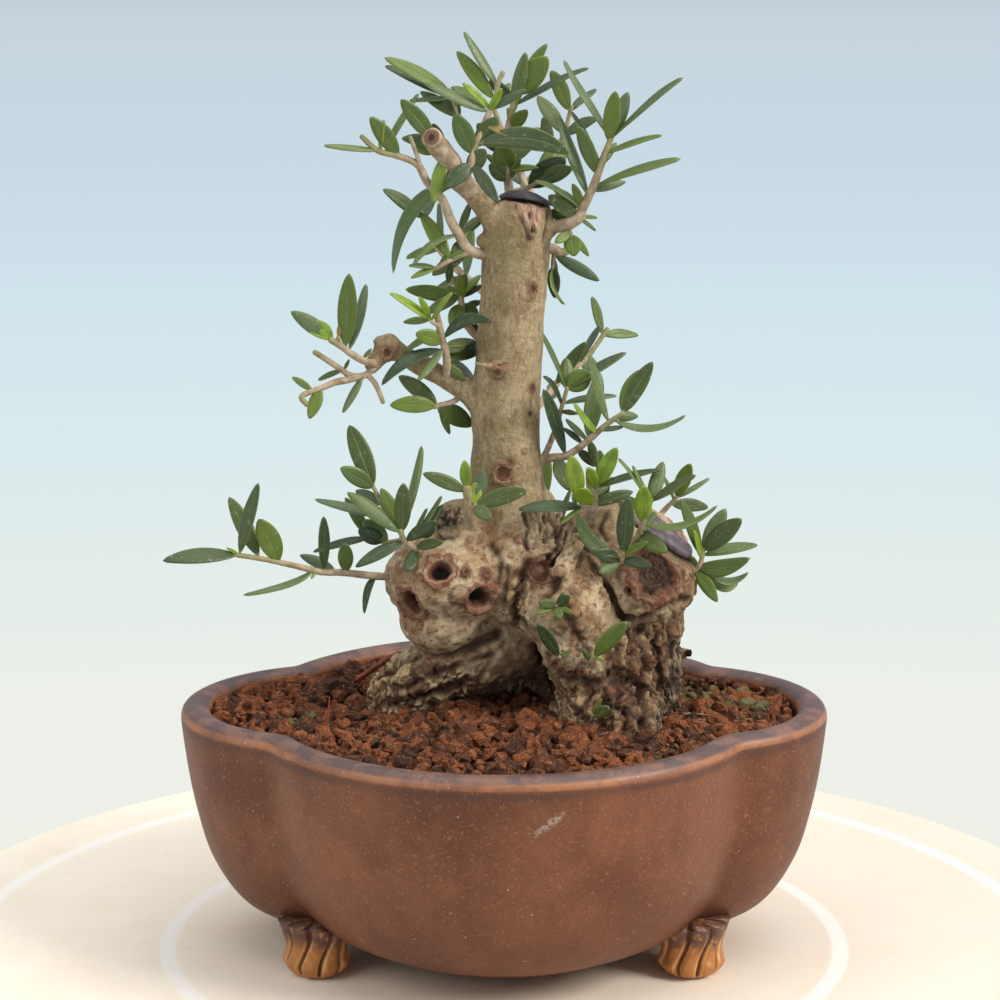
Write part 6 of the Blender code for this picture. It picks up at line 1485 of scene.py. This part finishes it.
def twigLines(spray, bark):
    depth = onBark(bark, *spray["face"])[0].y * 1000 if "face" in spray else 0
    lines = []
    for first, last, points in spray["twigs"]:
        path = [seenAt(x, z, y + depth) for x, z, y in points]
        radii = [(first + (last - first) * k / (len(path) - 1)) * 0.001 for k in range(len(path))]
        lines.append((path, radii))
    return lines


def nearestOn(lines, x, z):
    # the point of the twigs that is seen nearest to x, z
    best, found = 1e9, None
    for path, radii in lines:
        end = path[-1] + (path[-2] - path[-1]).normalized() * leafShape["tipSetback"]
        for a, b in zip(path, path[1:-1] + [end]):
            for step in range(9):
                point = a.lerp(b, step / 8)
                flat = flatOf(point)
                gap = math.hypot(flat[0] - x, flat[1] - z)
                if gap < best:
                    best, found = gap, point
    return found


def leafOutline(t):
    # half width from 0 to 1 along a leaf: a short stalk, a full middle and a blunt tip
    body = min(max(t - 0.045, 0) / 0.955, 1)
    full = math.sin(math.pi * body ** 0.96) ** 0.6 * (1.04 - 0.1 * body)
    stalk = 0.15 * (1 - smoothStep(0.1, 0.3, t))
    return max(full, stalk) if 0 < t < 1 else 0


def addLeaf(bm, base, tip, middle, width, roll, underside, tone, draw):
    axis = (tip - base).normalized()
    sight = (eye - base).normalized()
    side = axis.cross(sight).normalized()
    face = side.cross(axis)
    if face.dot(sight) < 0:
        face = -face
    turn = roll if (face * math.cos(roll) + side * math.sin(roll)).z > face.z else -roll
    up = face * math.cos(turn) + side * math.sin(turn)
    across = axis.cross(up)
    keel = leafShape["keel"] * (-1 if underside else 1) * width
    vary, twist, wave = draw.random(), draw.uniform(-0.22, 0.22), draw.uniform(-0.03, 0.03)

    def shareOf(v):
        return v * 0.62 + 0.38 * (1 - math.cos(math.pi * v)) / 2

    def place(u, v):
        t = shareOf(v)
        swell = leafOutline(t)
        line = (1 - t) ** 2 * base + 2 * t * (1 - t) * middle + t ** 2 * tip
        a, lift = math.cos(2 * math.pi * u), math.sin(2 * math.pi * u)
        thick = leafShape["thickness"] / 2 * (0.35 + 0.65 * (1 - abs(a)) ** 0.5) if swell else 0
        ridge = 0.16 if lift > 0 else -0.34
        rib = bell(a, 0.16) * ridge * leafShape["thickness"] * (1 - t) if swell else 0
        spin = twist * (t - 0.4)
        outward = across * math.cos(spin) + up * math.sin(spin)
        rise = abs(a) * keel * swell - 0.05 * width * swell * abs(a) ** 4 + wave * width * math.sin(6 * t)
        raised = math.copysign(thick, lift) * (lift != 0) - rib + rise
        return line + outward * a * width / 2 * swell + up * raised
    marks = {"along": lambda u, v: shareOf(v), "across": lambda u, v: math.cos(2 * math.pi * u),
             "under": lambda u, v: (1 - math.sin(2 * math.pi * u)) / 2, "tone": lambda u, v: tone,
             "vary": lambda u, v: vary}
    gridSkin(bm, leafShape["columns"], leafShape["rows"], place, marks)


def fittedLeaf(leaf, lines, solid):
    # of the bends that the solid's leaf may have taken, the one that lies on it
    baseX, baseZ, tipX, tipZ, seenWidth, tone, reach = leaf[:7]
    base = nearestOn(lines, baseX, baseZ)
    best, found = 1e9, None
    for bend in leafShape["bends"]:
        tip = seenAt(tipX, tipZ, base.y * 1000 + reach + bend)
        length = (tip - base).length
        middle = (base + tip) / 2 + Vector((0, 0, 0.05 * length))
        if len(leaf) > 7:
            middle = 2 * seenAt(leaf[7], leaf[8], base.y * 1000 + (reach + bend) / 2) - (base + tip) / 2
        late = 0.09 * base + 0.42 * middle + 0.49 * tip
        miss = solid.find_nearest(tip)[3] + solid.find_nearest(late)[3] + abs(bend) * 1e-6
        if miss < best:
            width = max(seenWidth * 0.001, leafShape["proportion"] * length)
            roll = math.acos(min(seenWidth * 0.001 / width, 1))
            best, found = miss, (base, tip, middle, width, roll, tone == "g")
    return found


def pairedLeaves(path, draw):
    leaves = []
    length = len(path) - 1
    for i in range(leafShape["pairs"]):
        where = (0.42 + 0.52 * i / (leafShape["pairs"] - 1)) * length
        start = min(int(where), length - 1)
        base = path[start].lerp(path[start + 1], where - start)
        run = (path[start + 1] - path[start]).normalized()
        side = run.orthogonal().normalized()
        side = Matrix.Rotation(math.pi / 2 * (i % 2) + draw.uniform(-0.3, 0.3), 3, run) @ side
        for sign in (-1, 1):
            aim = (side * sign + run * draw.uniform(0.5, 1.0)).normalized()
            size = draw.uniform(*leafShape["pairLength"]) * 0.001
            leaves.append((base, base + aim * size, base + aim * size / 2 + Vector((0, 0, 0.07 * size)),
                           size * draw.uniform(0.26, 0.33), draw.uniform(0, 1.2), False))
    return leaves


def growTwigs(bm, lines):
    for path, radii in lines:
        smooth = smoothPath(path, 5)
        stub = radii[-1] > leafShape["stubFrom"]
        pairs = zip(spread(radii, 5), smooth)
        sizes = [size * (1 + 0.10 * noise.noise(point * 900)) for size, point in pairs]
        last = 1 - 2 / (len(smooth) + 3)
        marks = {"along": lambda u, v: 0 if stub else v, "tone": lambda u, v: 0.5,
                 "cut": lambda u, v: max(v - last, 0) / (1 - last) if stub else 0}
        tubeAlong(bm, smooth, sizes, 20 if stub else 10, marks, 0.12 if stub else 0.7)
    for face in bm.faces:
        face.material_index = 1


def makeSprays():
    bark = solids["trunk"]
    draw = random.Random(leafShape["seed"])
    pairDraw = random.Random(leafShape["pairSeed"])
    paints = [leafPaint(), twigPaint()]
    pieces = []
    for name in list(frontSprays) + list(backSprays):
        spray = frontSprays.get(name) or {"twigs": backSprays[name]}
        lines = twigLines(spray, bark)
        solid = solids[name]
        bm = bmesh.new()
        growTwigs(bm, lines)
        if name in frontSprays:
            shapes = [(fittedLeaf(leaf, lines, solid), leafShape["toneShares"][leaf[5]])
                      for leaf in spray["leaves"]]
        else:
            shapes = []
            for i, (path, radii) in enumerate(lines):
                start = clearStart(path, radii[0], bark) if i == 0 else path
                shapes += [(shape, None) for shape in pairedLeaves(start, pairDraw)
                           if solid.find_nearest(shape[1])[3] < 0.0015]
        for shape, tone in shapes:
            share = draw.choice(leafShape["pairTones"]) if tone is None else tone
            addLeaf(bm, *shape, share, draw)
        pieceName = name.replace("spray_", "leaves_").replace("sprout_", "leaves_sprout_")
        pieces.append(addPiece(pieceName, bm, paints, [name]))
    report("sprays", *pieces)


# light and ground: a round cream table before a pale backdrop, with soft lights from above, the right and
# the left front. A light is (place in metres, power, size, tint)
studio = {
    "tableRadius": 0.157, "tableDepth": 0.012, "tableTone": rgb(251, 241, 223), "grooves": (0.0842, 0.1365),
    "lights": {"top": ((0.15, 0.05, 1.25), 10.4, 1.5, (1.0, 0.98, 0.95)),
               "key": ((1.7, -0.75, 1.3), 39, 0.9, (1.0, 0.95, 0.88)),
               "fill": ((-0.85, -0.55, 0.75), 4.0, 0.8, (1.0, 0.97, 0.93))},
    "backdrop": [(0.0, rgb(120, 112, 100)), (0.30, rgb(240, 240, 231)), (0.37, rgb(237, 240, 233)),
                 (0.39, rgb(230, 238, 233)), (0.419, rgb(219, 234, 237)), (0.449, rgb(208, 228, 236)),
                 (0.478, rgb(200, 218, 228)), (0.504, rgb(199, 211, 220)), (0.54, rgb(150, 158, 168)),
                 (1.0, rgb(176, 180, 184))],
    "worldStrength": 1.0,
}


def makeBackdrop():
    world = bpy.data.worlds.new("backdrop")
    scene.world = world
    world.use_nodes = True
    nodes, links = world.node_tree.nodes, world.node_tree.links
    place = nodes.new("ShaderNodeTexCoord")
    split = nodes.new("ShaderNodeSeparateXYZ")
    height = nodes.new("ShaderNodeMapRange")
    height.inputs["From Min"].default_value = -1
    ramp = nodes.new("ShaderNodeValToRGB")
    for i, (stop, colour) in enumerate(studio["backdrop"]):
        element = ramp.color_ramp.elements[i] if i < 2 else ramp.color_ramp.elements.new(stop)
        element.position = stop
        element.color = colour
    links.new(place.outputs["Generated"], split.inputs[0])
    links.new(split.outputs["Z"], height.inputs["Value"])
    links.new(height.outputs[0], ramp.inputs["Fac"])
    links.new(ramp.outputs["Color"], nodes["Background"].inputs["Color"])
    nodes["Background"].inputs["Strength"].default_value = studio["worldStrength"]


def makeLights():
    for name, (place, power, size, tint) in studio["lights"].items():
        light = bpy.data.lights.new(name, "AREA")
        light.energy = power
        light.size = size
        light.color = tint
        holder = linked(name, light)
        holder.location = place
        holder.rotation_euler = (mm(0, 0, 100) - Vector(place)).to_track_quat("-Z", "Y").to_euler()


def tablePaint():
    paint = Paint("cream table", 0.9, Specular_IOR_Level=0.1)
    worn = paint.noise(30, 5, 0.65)
    tone = paint.mix(paint.ramp(worn, 0.4, 0.7) * 0.6, studio["tableTone"], rgb(246, 230, 208))
    tone = paint.mix(paint.ramp(paint.noise(2.5, 3, 0.7), 0.55, 0.75) * 0.3, tone, rgb(232, 212, 184))
    # painted shade: the table's right side darker, offsetting the strong key light from the right
    tone = paint.mix(paint.ramp(paint.axis(0), -0.02, 0.13) * 0.6, tone, rgb(226, 210, 196))
    reach = paint.length(paint.stretched((1, 1, 0)))
    for groove in studio["grooves"]:
        away = paint.maths("ABSOLUTE", reach - groove)
        tone = paint.mix(paint.ramp(away, 0.0027, 0.0014) * 0.7, tone, rgb(255, 252, 248))
    paint.feed("Base Color", tone)
    return paint


def makeTable():
    bm = bmesh.new()
    radius, depth = studio["tableRadius"], studio["tableDepth"]
    bmesh.ops.create_cone(bm, cap_ends=True, segments=180, radius1=radius, radius2=radius, depth=depth,
                          matrix=Matrix.Translation((0, 0, -depth / 2)))
    rims = [edge for edge in bm.edges if abs(edge.verts[0].co.z - edge.verts[1].co.z) < 1e-6]
    bmesh.ops.bevel(bm, geom=rims, offset=0.002, affect="EDGES", segments=4, profile=0.5, material=-1)
    table = linked("table", meshOf(bm, "table"))
    table.data.materials.append(tablePaint().material)


def makeStudio():
    makeBackdrop()
    makeLights()
    makeTable()
    scene.view_settings.view_transform = "Standard"
    report("studio")


makeCamera()
makeStudio()
makePot()
makeFeet()
makeBark()
makePastes()
makeWire()
coatDrainMesh()
makeSoil()
makeLitter()
makeSprays()
